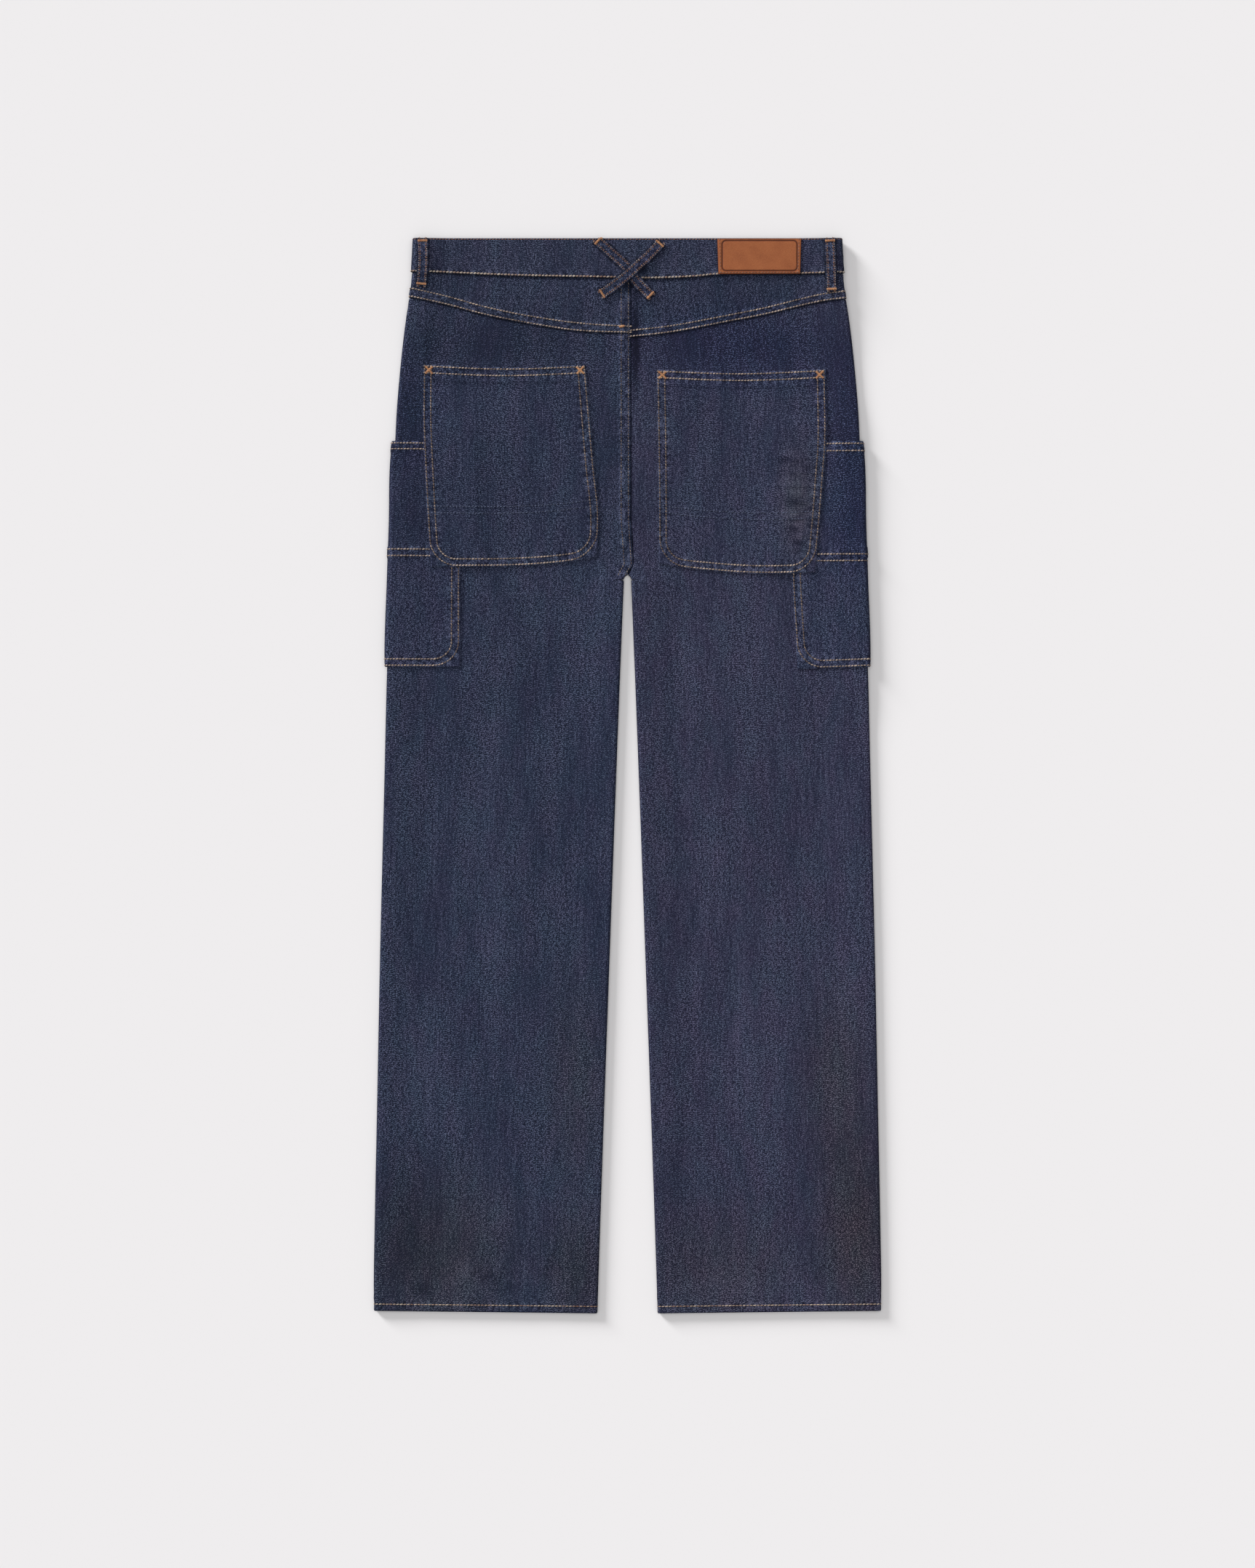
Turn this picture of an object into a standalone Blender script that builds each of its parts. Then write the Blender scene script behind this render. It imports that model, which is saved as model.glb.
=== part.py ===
"""Cargo jeans laid flat on their front: cut and sewn walls of denim at their real size.

Units are metres. +Y runs from the hems up to the waist, +X is across and +Z is up.
The origin lies on the surface that the jeans rest on, at the middle of their length and width.
Places on the jeans are given as x and as `down`, the distance down from the waist's top edge.
"""
import math
from collections import namedtuple

import bmesh
import bpy
import numpy as np

# Overall sizes.
LENGTH = 1.0715
CLOTH = 0.0012
SEAM_GAP = 0.0003
LAP_RAISE = 0.0008
TURNED_RAISE = 0.0006

# A panel turns over at each side seam in a half circle of this outer radius, then settles inwards.
FOLD_RADIUS = 0.0027
FOLD_ARC = math.pi * FOLD_RADIUS
SETTLE = 0.045
STACK = 2 * CLOTH + SEAM_GAP
OVERLAY = CLOTH + SEAM_GAP

# The back panels reach round the side seams to the underside by these widths.
UNDER_OUT = 0.012
UNDER_IN = 0.0105

WAIST_RAISE = 0.0012
WAIST_FLAT = 0.052
WAIST_EASE = 0.080
HEM_DEPTH = 0.009
HEM_WALL = 0.0024
HEM_EASE = 0.030

# Turned edges that stand up over a plain inside, and how softly a strip on top climbs them.
YOKE_BAND = 0.0095
YOKE_CLIMB = 0.008
WAIST_STEP_MARGIN = 0.002
WAIST_STEP_EASE = 0.014
FELL_FADE = (0.296, 0.326)
LOOP_WIDTH = 0.012
LOOP_WALL = 0.0015
LOOP_ARCH = 0.0010
FRONT_TRIM = LOOP_WALL + SEAM_GAP
PATCH_WALL = 0.0015
POCKET_TURNING = 0.0145

CROTCH = 0.336
CROTCH_EASE = 0.012
CURLED = CROTCH + 0.005
CURLED_SHARE = 0.9
SLOT_RADIUS = 0.0034

CARGO_TOP = 0.2021
CARGO_BOTTOM = 0.4270
CARGO_FRONT_EDGE = 0.160
CARGO_SEAM = (0.3080, 0.3180)
CARGO_TURNING = 0.0090

BUTTON_RADIUS = 0.0085
BUTTON_THICK = 0.0015
BUTTON_X = -0.018
BUTTON_DOWN = 0.017
BUTTON_SIDES = 24
BUTTON_ROUNDING = 0.0005

FLY_WIDTH = 0.040
FLY_STRAIGHT = 0.130
FLY_END = 0.169
FLY_CURVE = 0.042
FLY_BEND = FLY_STRAIGHT + 0.022
FLY_CORNER = 0.002

LOOP_START = 0.0004
FRONT_LOOP_X = 0.112
FRONT_LOOP_ROWS = (LOOP_START, 0.018, 0.0345, 0.038, 0.043, 0.050)
FRONT_LOOP_STEP = 0.0365
FRONT_LOOP_EASE = 0.006

LEFT = -1
RIGHT = 1

Station = namedtuple("Station", "down half")
EdgePoint = namedtuple("EdgePoint", "x down")
Beneath = namedtuple("Beneath", "x_low x_high down_low down_high")
Ridge = namedtuple("Ridge", "x down half_width half_length height")
Skin = namedtuple("Skin", "widths raised")

# Half the width of the flat jeans without waistband and side pockets.
BODY_WIDTH = (
    Station(0.000, 0.2128),
    Station(0.036, 0.2148),
    Station(0.055, 0.2168),
    Station(0.081, 0.2208),
    Station(0.110, 0.2245),
    Station(0.140, 0.2275),
    Station(0.170, 0.2299),
    Station(0.203, 0.2315),
    Station(0.300, 0.2350),
    Station(0.428, 0.2396),
    Station(0.560, 0.2429),
    Station(0.705, 0.2465),
    Station(0.850, 0.2494),
    Station(0.995, 0.2523),
    Station(1.0385, 0.2530),
    Station(1.0715, 0.2527),
)
WAIST_WIDTH = (
    Station(0.000, 0.2140),
    Station(0.036, 0.2160),
)
CARGO_WIDTH = (
    Station(0.2021, 0.2347),
    Station(0.226, 0.2369),
    Station(0.284, 0.2380),
    Station(0.342, 0.2400),
    Station(0.418, 0.2423),
    Station(0.427, 0.2420),
)

# Half the gap between the legs, below the round top of the slot.
LEG_GAP = (
    Station(0.336, 0.0034),
    Station(0.458, 0.0083),
    Station(0.705, 0.0174),
    Station(0.995, 0.0276),
    Station(1.0715, 0.0300),
)

# The centre back seam lies a little to the right, and comes back to the middle at the crotch.
SEAT_SEAM = (
    EdgePoint(0.0033, 0.000),
    EdgePoint(0.0033, 0.280),
    EdgePoint(0.0062, 0.324),
    EdgePoint(0.0000, 0.336),
)

WAISTBAND_EDGE = (
    EdgePoint(-0.216, 0.0340),
    EdgePoint(-0.197, 0.0344),
    EdgePoint(-0.112, 0.0378),
    EdgePoint(-0.035, 0.0393),
    EdgePoint(0.023, 0.0405),
    EdgePoint(0.072, 0.0384),
    EdgePoint(0.087, 0.0368),
    EdgePoint(0.175, 0.0359),
    EdgePoint(0.216, 0.0350),
)
YOKE_EDGE = {
    LEFT: (
        EdgePoint(-0.2153, 0.0595),
        EdgePoint(-0.1784, 0.0674),
        EdgePoint(-0.1421, 0.0769),
        EdgePoint(-0.0812, 0.0885),
        EdgePoint(-0.0500, 0.0928),
        EdgePoint(0.0040, 0.0950),
    ),
    RIGHT: (
        EdgePoint(0.0030, 0.0989),
        EdgePoint(0.0413, 0.0946),
        EdgePoint(0.1022, 0.0834),
        EdgePoint(0.1327, 0.0776),
        EdgePoint(0.1936, 0.0638),
        EdgePoint(0.2168, 0.0609),
    ),
}
HEM_INNER_X = 0.030
HEM_OUTER_RISE = 0.0025

# The four edges of each back pocket.
POCKET_EDGES = {
    LEFT: {
        "top": (
            EdgePoint(-0.2034, 0.1252),
            EdgePoint(-0.1225, 0.1283),
            EdgePoint(-0.0419, 0.1257),
        ),
        "bottom": (
            EdgePoint(-0.1955, 0.3274),
            EdgePoint(-0.1731, 0.3274),
            EdgePoint(-0.1148, 0.3266),
            EdgePoint(-0.0682, 0.3233),
            EdgePoint(-0.0307, 0.3174),
        ),
        "left": (
            EdgePoint(-0.2034, 0.1252),
            EdgePoint(-0.2039, 0.1768),
            EdgePoint(-0.2013, 0.2434),
            EdgePoint(-0.1980, 0.3016),
            EdgePoint(-0.1955, 0.3274),
        ),
        "right": (
            EdgePoint(-0.0419, 0.1257),
            EdgePoint(-0.0332, 0.2267),
            EdgePoint(-0.0283, 0.2767),
            EdgePoint(-0.0307, 0.3174),
        ),
    },
    RIGHT: {
        "top": (
            EdgePoint(0.0288, 0.1304),
            EdgePoint(0.1131, 0.1330),
            EdgePoint(0.1973, 0.1298),
        ),
        "bottom": (
            EdgePoint(0.0311, 0.3237),
            EdgePoint(0.0602, 0.3287),
            EdgePoint(0.0838, 0.3311),
            EdgePoint(0.1137, 0.3335),
            EdgePoint(0.1498, 0.3342),
            EdgePoint(0.1867, 0.3326),
        ),
        "left": (
            EdgePoint(0.0288, 0.1304),
            EdgePoint(0.0296, 0.1731),
            EdgePoint(0.0307, 0.2516),
            EdgePoint(0.0311, 0.3237),
        ),
        "right": (
            EdgePoint(0.1973, 0.1298),
            EdgePoint(0.1978, 0.2045),
            EdgePoint(0.1954, 0.2360),
            EdgePoint(0.1923, 0.2753),
            EdgePoint(0.1867, 0.3326),
        ),
    },
}

# Inner and lower edges of the side pockets, on the back.
CARGO_INNER_EDGE = {
    LEFT: (Station(0.2021, 0.1668), Station(0.4270, 0.1668)),
    RIGHT: (Station(0.2021, 0.1630), Station(0.3350, 0.1639), Station(0.4297, 0.1695)),
}
CARGO_LOWER_DROP = {LEFT: 0.0, RIGHT: 0.0020}

PATCH_CORNERS = (
    EdgePoint(0.0892, 0.0007),
    EdgePoint(0.1731, 0.0005),
    EdgePoint(0.0904, 0.0350),
    EdgePoint(0.1720, 0.0345),
)

# Routes of the belt loops, from the waist's top edge down.
SIDE_LOOPS = {
    LEFT: (EdgePoint(-0.2039, 0.0004), EdgePoint(-0.2034, 0.0240), EdgePoint(-0.2053, 0.0484)),
    RIGHT: (EdgePoint(0.2013, 0.0004), EdgePoint(0.2023, 0.0260), EdgePoint(0.2032, 0.0537)),
}
CROSS_OVER = (
    EdgePoint(0.0339, 0.0036),
    EdgePoint(0.0217, 0.0169),
    EdgePoint(0.0096, 0.0281),
    EdgePoint(-0.0033, 0.0398),
    EdgePoint(-0.0220, 0.0531),
    EdgePoint(-0.0274, 0.0567),
)
CROSS_UNDER = (
    EdgePoint(-0.0312, 0.0011),
    EdgePoint(-0.0160, 0.0149),
    EdgePoint(-0.0020, 0.0277),
    EdgePoint(0.0080, 0.0419),
    EdgePoint(0.0247, 0.0587),
)
CROSSING = EdgePoint(0.0030, 0.0340)

# The side pockets lie partly under the fronts and lift them off the surface.
BENEATH = (
    Beneath(-0.300, -CARGO_FRONT_EDGE, CARGO_TOP, CARGO_BOTTOM),
    Beneath(CARGO_FRONT_EDGE, 0.300, CARGO_TOP, CARGO_BOTTOM + CARGO_LOWER_DROP[RIGHT]),
)
BENEATH_MARGIN = 0.012
BENEATH_EASE = 0.048
COVER_EASE = 0.020
CROSSING_MARGIN = 0.013
CROSSING_EASE = 0.018

# Where columns and rows of the walls stand.
FOLD_STEPS = 4
SETTLE_STATIONS = (0.011, 0.022, 0.034, SETTLE)
MIDDLE_SHARES = (0.16, 0.32, 0.46, 0.60, 0.74)
FRONT_SHARES = (0.0, 0.16, 0.32, 0.40, 0.48, 0.56, 0.78, 1.0)
WAIST_STATIONS = (0.201, 0.190, 0.178, 0.167, 0.140, 0.110, 0.080, 0.050, 0.025)
WAIST_ROWS = tuple(WAIST_FLAT + WAIST_EASE * share for share in (0.0, 0.25, 0.5, 0.75))
ABOVE_CARGO = tuple(CARGO_TOP - BENEATH_MARGIN - BENEATH_EASE * share for share in (1.0, 0.67, 0.33, 0.0))
BELOW_CARGO = tuple(CARGO_BOTTOM + BENEATH_MARGIN + BENEATH_EASE * share for share in (0.05, 0.55, 1.05))
CROTCH_ROWS = (CROTCH - CROTCH_EASE, CROTCH - 0.005, CROTCH, CROTCH + 0.0015, CURLED)
YOKE_SKEW = 0.10
HEM_SKEW = 1.0
PANEL_WIDTH = 0.22
WAIST_SIDE_X = 0.216
WAIST_GUESS = 0.036
YOKE_GUESS = 0.080
BELOW_YOKE = (0.015, 0.033)
BACK_STEP = 0.065
FRONT_STEP = 0.090
CARGO_STEP = 0.030
STRIP_SHARES = (0.0, 0.35, 0.7, 1.0)
LOOP_STATIONS = 13
ARCH_POWER = 0.7
PATCH_GRID = (4, 9)
POCKET_GRID = (15, 15)
POCKET_LENGTH = 0.200
POCKET_FIRST_ROW = 0.12
TURNING_STEP = 0.002
FRONT_PART = (CROTCH - 0.016, CROTCH - 0.002)

# Long soft ridges where the back of a leg doesn't lie quite flat on its front.
RIDGES = (
    Ridge(-0.118, 0.720, 0.050, 0.230, 0.0011),
    Ridge(-0.170, 0.900, 0.040, 0.140, 0.0008),
    Ridge(0.104, 0.640, 0.050, 0.180, 0.0010),
    Ridge(0.160, 0.860, 0.045, 0.200, 0.0011),
)

DENIM = {
    "waistband": "#313648",
    "yoke": "#2A2F43",
    "back": "#303448",
    "front": "#303448",
    "pocket": "#2D3346",
    "cargo": "#2C3145",
    "loop": "#2C3145",
}
LEATHER = "#A16543"
BRASS = "#8A6B45"


def smooth(share):
    """Ease from 0 to 1 with flat ends."""
    share = np.clip(share, 0.0, 1.0)
    return share * share * (3.0 - 2.0 * share)


def through(knots, values, at):
    """Value at `at` on the smooth curve through the given knots."""
    knots = np.asarray(knots, float)
    values = np.asarray(values, float)
    steps = np.diff(knots)
    slopes = np.diff(values) / steps
    tangents = np.concatenate(([slopes[0]], slopes, [slopes[-1]]))
    tangents = (tangents[:-1] + tangents[1:]) / 2
    at = np.clip(at, knots[0], knots[-1])
    left = np.clip(np.searchsorted(knots, at, side="right") - 1, 0, len(steps) - 1)
    step = steps[left]
    t = (at - knots[left]) / step
    start = (2 * t ** 3 - 3 * t ** 2 + 1) * values[left]
    start += (t ** 3 - 2 * t ** 2 + t) * step * tangents[left]
    end = (3 * t ** 2 - 2 * t ** 3) * values[left + 1]
    end += (t ** 3 - t ** 2) * step * tangents[left + 1]
    return start + end


def width_at(stations, down):
    return through([row.down for row in stations], [row.half for row in stations], down)


def edge_at(points, x):
    """How far down an edge lies at x."""
    return through([point.x for point in points], [point.down for point in points], x)


def along_edge(points, share):
    """Point on a pocket's edge, at a share of its length."""
    xs = np.array([point.x for point in points])
    downs = np.array([point.down for point in points])
    lengths = np.concatenate(([0.0], np.cumsum(np.hypot(np.diff(xs), np.diff(downs)))))
    shares = lengths / lengths[-1]
    return through(shares, xs, share), through(shares, downs, share)


def leg_gap(down):
    """Half the gap between the legs: a round top, then straight sides that part slowly."""
    turn = np.clip((down - CROTCH) / SLOT_RADIUS, 0.0, 1.0)
    round_top = SLOT_RADIUS * np.sqrt(1 - (1 - turn) ** 2)
    return round_top + width_at(LEG_GAP, down) - LEG_GAP[0].half


def seat_seam(down):
    return np.interp(down, [point.down for point in SEAT_SEAM], [point.x for point in SEAT_SEAM])


def inner_edge(side, down):
    """Where a back panel ends, outwards from the middle: at the centre seam, then at the leg gap."""
    seam = side * seat_seam(down) + SEAM_GAP / 2
    return np.where(down < CROTCH, seam, np.maximum(leg_gap(down), SEAM_GAP / 2))


def curl(down):
    """How far a panel turns over at the inner leg: not at all on the seat, a half circle below."""
    stations = (CROTCH - CROTCH_EASE, CROTCH, CURLED)
    return np.interp(down, stations, (0.0, math.pi / 2, math.pi))


def inner_tangent(edge, down):
    return edge + FOLD_RADIUS * np.sin(np.minimum(curl(down), math.pi / 2))


def near_box(x, down, box):
    """1 over a piece that lies beneath, easing to 0 around it."""
    off_x = np.maximum(np.maximum(box.x_low - x, x - box.x_high), 0.0)
    off_down = np.maximum(np.maximum(box.down_low - down, down - box.down_high), 0.0)
    return 1.0 - smooth((np.hypot(off_x, off_down) - BENEATH_MARGIN) / BENEATH_EASE)


def ground(x, down):
    """Height of the fronts' underside above the surface that the jeans rest on."""
    level = (WAIST_RAISE + FRONT_TRIM) * (1.0 - smooth((down - WAIST_FLAT) / WAIST_EASE))
    for box in BENEATH:
        level = level + OVERLAY * near_box(x, down, box)
    return level


def height(x, down):
    """Height of the back panels' outer face."""
    hem = HEM_WALL - CLOTH
    stack = STACK + 2 * hem * smooth((down - (LENGTH - HEM_DEPTH - HEM_EASE)) / HEM_EASE)
    rise = 2 * FOLD_RADIUS - stack
    centre = width_at(BODY_WIDTH, down) - FOLD_RADIUS
    outer = 1.0 - smooth((centre - np.abs(x)) / SETTLE)
    tangent = inner_tangent(leg_gap(down), down)
    inner = (1.0 - smooth((np.abs(x) - tangent) / SETTLE)) * curl(down) / math.pi
    level = ground(x, down) + stack + rise * (outer + inner)
    for ridge in RIDGES:
        across = 1.0 - smooth(np.abs(x - ridge.x) / ridge.half_width)
        length = 1.0 - smooth(np.abs(down - ridge.down) / ridge.half_length)
        level = level + ridge.height * across * length
    return level


BODY_SKIN = Skin(BODY_WIDTH, 0.0)
WAIST_SKIN = Skin(WAIST_WIDTH, WAIST_RAISE)
CARGO_SKIN = Skin(CARGO_WIDTH, OVERLAY)


def points(x, down, z):
    """Grid of points from a place on the jeans and a height."""
    x, down, z = np.broadcast_arrays(x, down, z)
    return np.stack((x, LENGTH / 2 - down, z), axis=-1)


def section(side, skin, down, along, depth, edge=None):
    """Points on a cross-section that turns over at the outseam, and at the inner leg if it has an edge.

    `along` runs over the outer face: below 0 underneath, then round the outseam and in over the top.
    `depth` is the distance inside the outer face.
    """
    radius = FOLD_RADIUS + skin.raised
    centre = width_at(skin.widths, down) - radius
    turn = np.clip(along / radius, 0.0, math.pi)
    under = np.clip(-along, 0.0, None)
    over = np.clip(along - math.pi * radius, 0.0, None)
    past = np.zeros_like(over)
    if edge is not None:
        tangent = inner_tangent(edge, down)
        past = np.clip(over - (centre - tangent), 0.0, None)
    across = centre - (over - past) - under
    bend = (radius - depth) * np.sin(turn)
    level = ground(side * centre, down) + FOLD_RADIUS
    z = level - (radius - depth) * np.cos(turn)
    z = np.where(along <= 0.0, ground(side * across, down) - skin.raised + depth, z)
    z = np.where(over > 0.0, height(side * across, down) + skin.raised - depth, z)
    across = across + bend
    if edge is not None:
        turn_in = np.minimum(past / radius, curl(down))
        back = np.clip(past - curl(down) * radius, 0.0, None)
        top = height(side * tangent, down)
        x_in = tangent - (radius - depth) * np.sin(turn_in) + back
        z_in = top - radius + (radius - depth) * np.cos(turn_in)
        across = np.where(past > 0.0, x_in, across)
        z = np.where(past > 0.0, z_in, z)
    return points(side * across, down, z)


def section_length(side, down):
    """Length of a back panel's outer face from the outseam's underside to its inner edge."""
    centre = width_at(BODY_WIDTH, down) - FOLD_RADIUS
    tangent = inner_tangent(inner_edge(side, down), down)
    turned = curl(down) * FOLD_RADIUS
    under = UNDER_IN * smooth((curl(down) / math.pi - CURLED_SHARE) / (1 - CURLED_SHARE))
    return FOLD_ARC + centre - tangent + turned + under


def wall_depth(down):
    """Thickness of a leg's wall, doubled where the hem is turned in."""
    return np.where(down > LENGTH - HEM_DEPTH - SEAM_GAP, HEM_WALL, CLOTH)


def spread(keys, step):
    """The keys in order, with even stations no further apart than `step` between them."""
    stations = [keys[0]]
    for start, end in zip(keys, keys[1:]):
        count = max(1, math.ceil((end - start) / step - 1e-6))
        stations.extend(start + (end - start) * k / count for k in range(1, count + 1))
    return np.array(stations)


def srgb(value):
    """Linear colour of an sRGB hex value."""
    channels = [int(value[k:k + 2], 16) / 255 for k in (1, 3, 5)]
    linear = [c / 12.92 if c <= 0.04045 else ((c + 0.055) / 1.055) ** 2.4 for c in channels]
    return (*linear, 1.0)


def material(name, colour, roughness, metallic=0.0):
    made = bpy.data.materials.new(name)
    made.use_nodes = True
    shader = made.node_tree.nodes["Principled BSDF"]
    shader.inputs["Base Color"].default_value = srgb(colour)
    shader.inputs["Roughness"].default_value = roughness
    shader.inputs["Metallic"].default_value = metallic
    made.diffuse_color = srgb(colour)
    return made


def cloth_wall(name, outer, inner, colour, roughness=0.9):
    """A closed wall between two grids of points: its outer and its inner face."""
    rows, columns = outer.shape[:2]
    count = rows * columns
    vertices = np.concatenate((outer.reshape(-1, 3), inner.reshape(-1, 3)))
    numbers = np.arange(count).reshape(rows, columns)
    faces = []
    for grid in (numbers, numbers[::-1] + count):
        corners = (grid[:-1, :-1], grid[:-1, 1:], grid[1:, 1:], grid[1:, :-1])
        faces.extend(np.stack(corners, axis=-1).reshape(-1, 4).tolist())
    border = np.concatenate((numbers[0, :-1], numbers[:-1, -1], numbers[-1, :0:-1], numbers[:0:-1, 0]))
    for start, end in zip(border.tolist(), np.roll(border, -1).tolist()):
        faces.append((end, start, start + count, end + count))
    mesh = bpy.data.meshes.new(name)
    mesh.from_pydata(vertices.tolist(), [], faces)
    shape = bmesh.new()
    shape.from_mesh(mesh)
    bmesh.ops.recalc_face_normals(shape, faces=shape.faces)
    shape.to_mesh(mesh)
    shape.free()
    mesh.materials.append(material(name, colour, roughness))
    piece = bpy.data.objects.new(name, mesh)
    bpy.data.collections["cargo_jeans"].objects.link(piece)
    return piece


def back_columns():
    """Columns over a back panel, each a fixed distance plus a share of the section's length."""
    quarters = FOLD_ARC * np.arange(FOLD_STEPS + 1) / FOLD_STEPS
    settling = np.array(SETTLE_STATIONS)
    outer = np.concatenate(([-UNDER_OUT], quarters, FOLD_ARC + settling))
    inner = np.concatenate(([0.0], UNDER_IN + quarters, UNDER_IN + FOLD_ARC + settling))[::-1]
    middle = np.array(MIDDLE_SHARES)
    fixed = np.concatenate((outer, outer[-1] * (1 - middle) - inner[0] * middle, -inner))
    share = np.concatenate((np.zeros_like(outer), middle, np.ones_like(inner)))
    from_edge = np.concatenate((np.full(len(outer) + len(middle), 1.0), inner))
    return fixed, share, from_edge


def edges_over_columns(side, edge_down, guess):
    """How far down an edge lies on each column, when the edge is known by x."""
    fixed, share, _ = back_columns()
    down = np.full(len(fixed), guess)
    for _ in range(4):
        along = fixed + share * section_length(side, down)
        place = section(side, BODY_SKIN, down, along, 0.0, inner_edge(side, down))
        down = edge_down(place[:, 0])
    return down


def fell_raise(side, down, from_edge):
    """The left side is felled over the right along the centre seam."""
    if side == RIGHT:
        return np.zeros_like(down)
    fade = smooth((down - FELL_FADE[0]) / (FELL_FADE[1] - FELL_FADE[0]))
    return LAP_RAISE * (from_edge <= UNDER_IN) * (1.0 - fade)


def sew_on_columns(side, name, down, raised, wall, colour):
    """A back piece on the shared columns."""
    fixed, share, from_edge = back_columns()
    along = fixed + share * section_length(side, down)
    edge = inner_edge(side, down)
    raised = np.maximum(raised, fell_raise(side, down, from_edge)) * (along > FOLD_ARC / 2)
    outer = section(side, BODY_SKIN, down, along, -raised, edge)
    inner = section(side, BODY_SKIN, down, along, wall, edge)
    return cloth_wall(name, outer, inner, colour)


def make_yoke(side, name):
    top = edges_over_columns(side, lambda x: edge_at(WAISTBAND_EDGE, x), WAIST_GUESS)
    bottom = edges_over_columns(side, lambda x: edge_at(YOKE_EDGE[side], x), YOKE_GUESS)
    top = top + SEAM_GAP / 2
    bottom = bottom - SEAM_GAP / 2
    band = bottom - YOKE_BAND
    down = np.stack((top, (top + band) / 2, band - SEAM_GAP, band, bottom))
    raised = LAP_RAISE * (down > band - SEAM_GAP / 2)
    return sew_on_columns(side, name, down, raised, CLOTH, DENIM["yoke"])


def make_back(side, name):
    top = edges_over_columns(side, lambda x: edge_at(YOKE_EDGE[side], x), YOKE_GUESS) + SEAM_GAP / 2
    first = float(top[-1])
    keys = (
        first, *(first + step for step in BELOW_YOKE), *ABOVE_CARGO, *CROTCH_ROWS, *BELOW_CARGO,
        LENGTH - HEM_DEPTH - HEM_EASE, LENGTH - HEM_DEPTH - 2 * SEAM_GAP, LENGTH - HEM_DEPTH, LENGTH,
    )
    rows = spread(keys, BACK_STEP)[:, None]
    from_top = (top - first) * (1.0 - smooth((rows - first) / YOKE_SKEW))
    places = section(side, BODY_SKIN, rows, back_along(side, rows), 0.0, inner_edge(side, rows))
    down = rows + from_top - hem_rise(np.abs(places[..., 0]), rows)
    wall = np.broadcast_to(wall_depth(rows), down.shape)
    return sew_on_columns(side, name, down, np.zeros_like(down), wall, DENIM["back"])


def back_along(side, down):
    fixed, share, _ = back_columns()
    return fixed + share * section_length(side, down)


def hem_rise(across, down):
    """The hem slants: it lies a little higher at the outseam than at the inner leg."""
    outwards = np.clip((across - HEM_INNER_X) / PANEL_WIDTH, 0.0, 1.0)
    return HEM_OUTER_RISE * outwards * smooth((down - HEM_SKEW) / (LENGTH - HEM_SKEW))


def front_outer(down):
    """Outer edge of a front, where the back panel's turned edge ends."""
    return width_at(BODY_WIDTH, down) - FOLD_RADIUS - UNDER_OUT - SEAM_GAP


def front_inner(down):
    """Inner edge of a front: at the centre, then beside the back panel's turned edge."""
    below = leg_gap(down) + FOLD_RADIUS + UNDER_IN + SEAM_GAP
    share = (down - FRONT_PART[0]) / (FRONT_PART[1] - FRONT_PART[0])
    return SEAM_GAP / 2 + (below - SEAM_GAP / 2) * np.clip(share, 0.0, 1.0)


def fly_edge(down):
    """Outer edge of the fly piece: straight down, then curving in to the centre."""
    turn = np.clip((down - FLY_STRAIGHT) / FLY_CURVE, 0.0, 1.0)
    return FLY_WIDTH * np.sqrt(1.0 - turn ** 2)


def make_front(side, name):
    start = edge_at(WAISTBAND_EDGE, side * WAIST_SIDE_X) + SEAM_GAP / 2
    keys = (
        start, *WAIST_ROWS, FLY_STRAIGHT, FLY_BEND, FLY_END, FLY_END + 2 * SEAM_GAP,
        FLY_END + FLY_CORNER, ABOVE_CARGO[-1], *FRONT_PART, CROTCH_ROWS[-1], *BELOW_CARGO,
        LENGTH - HEM_DEPTH - 2 * SEAM_GAP, LENGTH - HEM_DEPTH, LENGTH,
    )
    down = spread(keys, FRONT_STEP)[:, None]
    inner = front_inner(down)
    if side == LEFT:
        inner = np.where(down < FLY_END + FLY_CORNER / 2, fly_edge(down) + SEAM_GAP, inner)
    across = front_outer(down) + (inner - front_outer(down)) * np.array(FRONT_SHARES)
    lie = down - hem_rise(across, down)
    under = ground(side * across, lie)
    outer = points(side * across, lie, under)
    inside = points(side * across, lie, under + wall_depth(down))
    return cloth_wall(name, outer, inside, DENIM["front"])


def make_fly():
    start = edge_at(WAISTBAND_EDGE, -WAIST_SIDE_X) + SEAM_GAP / 2
    down = np.array((start, *WAIST_ROWS, FLY_STRAIGHT, FLY_BEND, FLY_END))[:, None]
    share = np.array(STRIP_SHARES)
    x = -SEAM_GAP / 2 - (fly_edge(down) - SEAM_GAP / 2) * share
    under = ground(x, down)
    return cloth_wall("fly", points(x, down, under), points(x, down, under + CLOTH), DENIM["front"])


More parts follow.
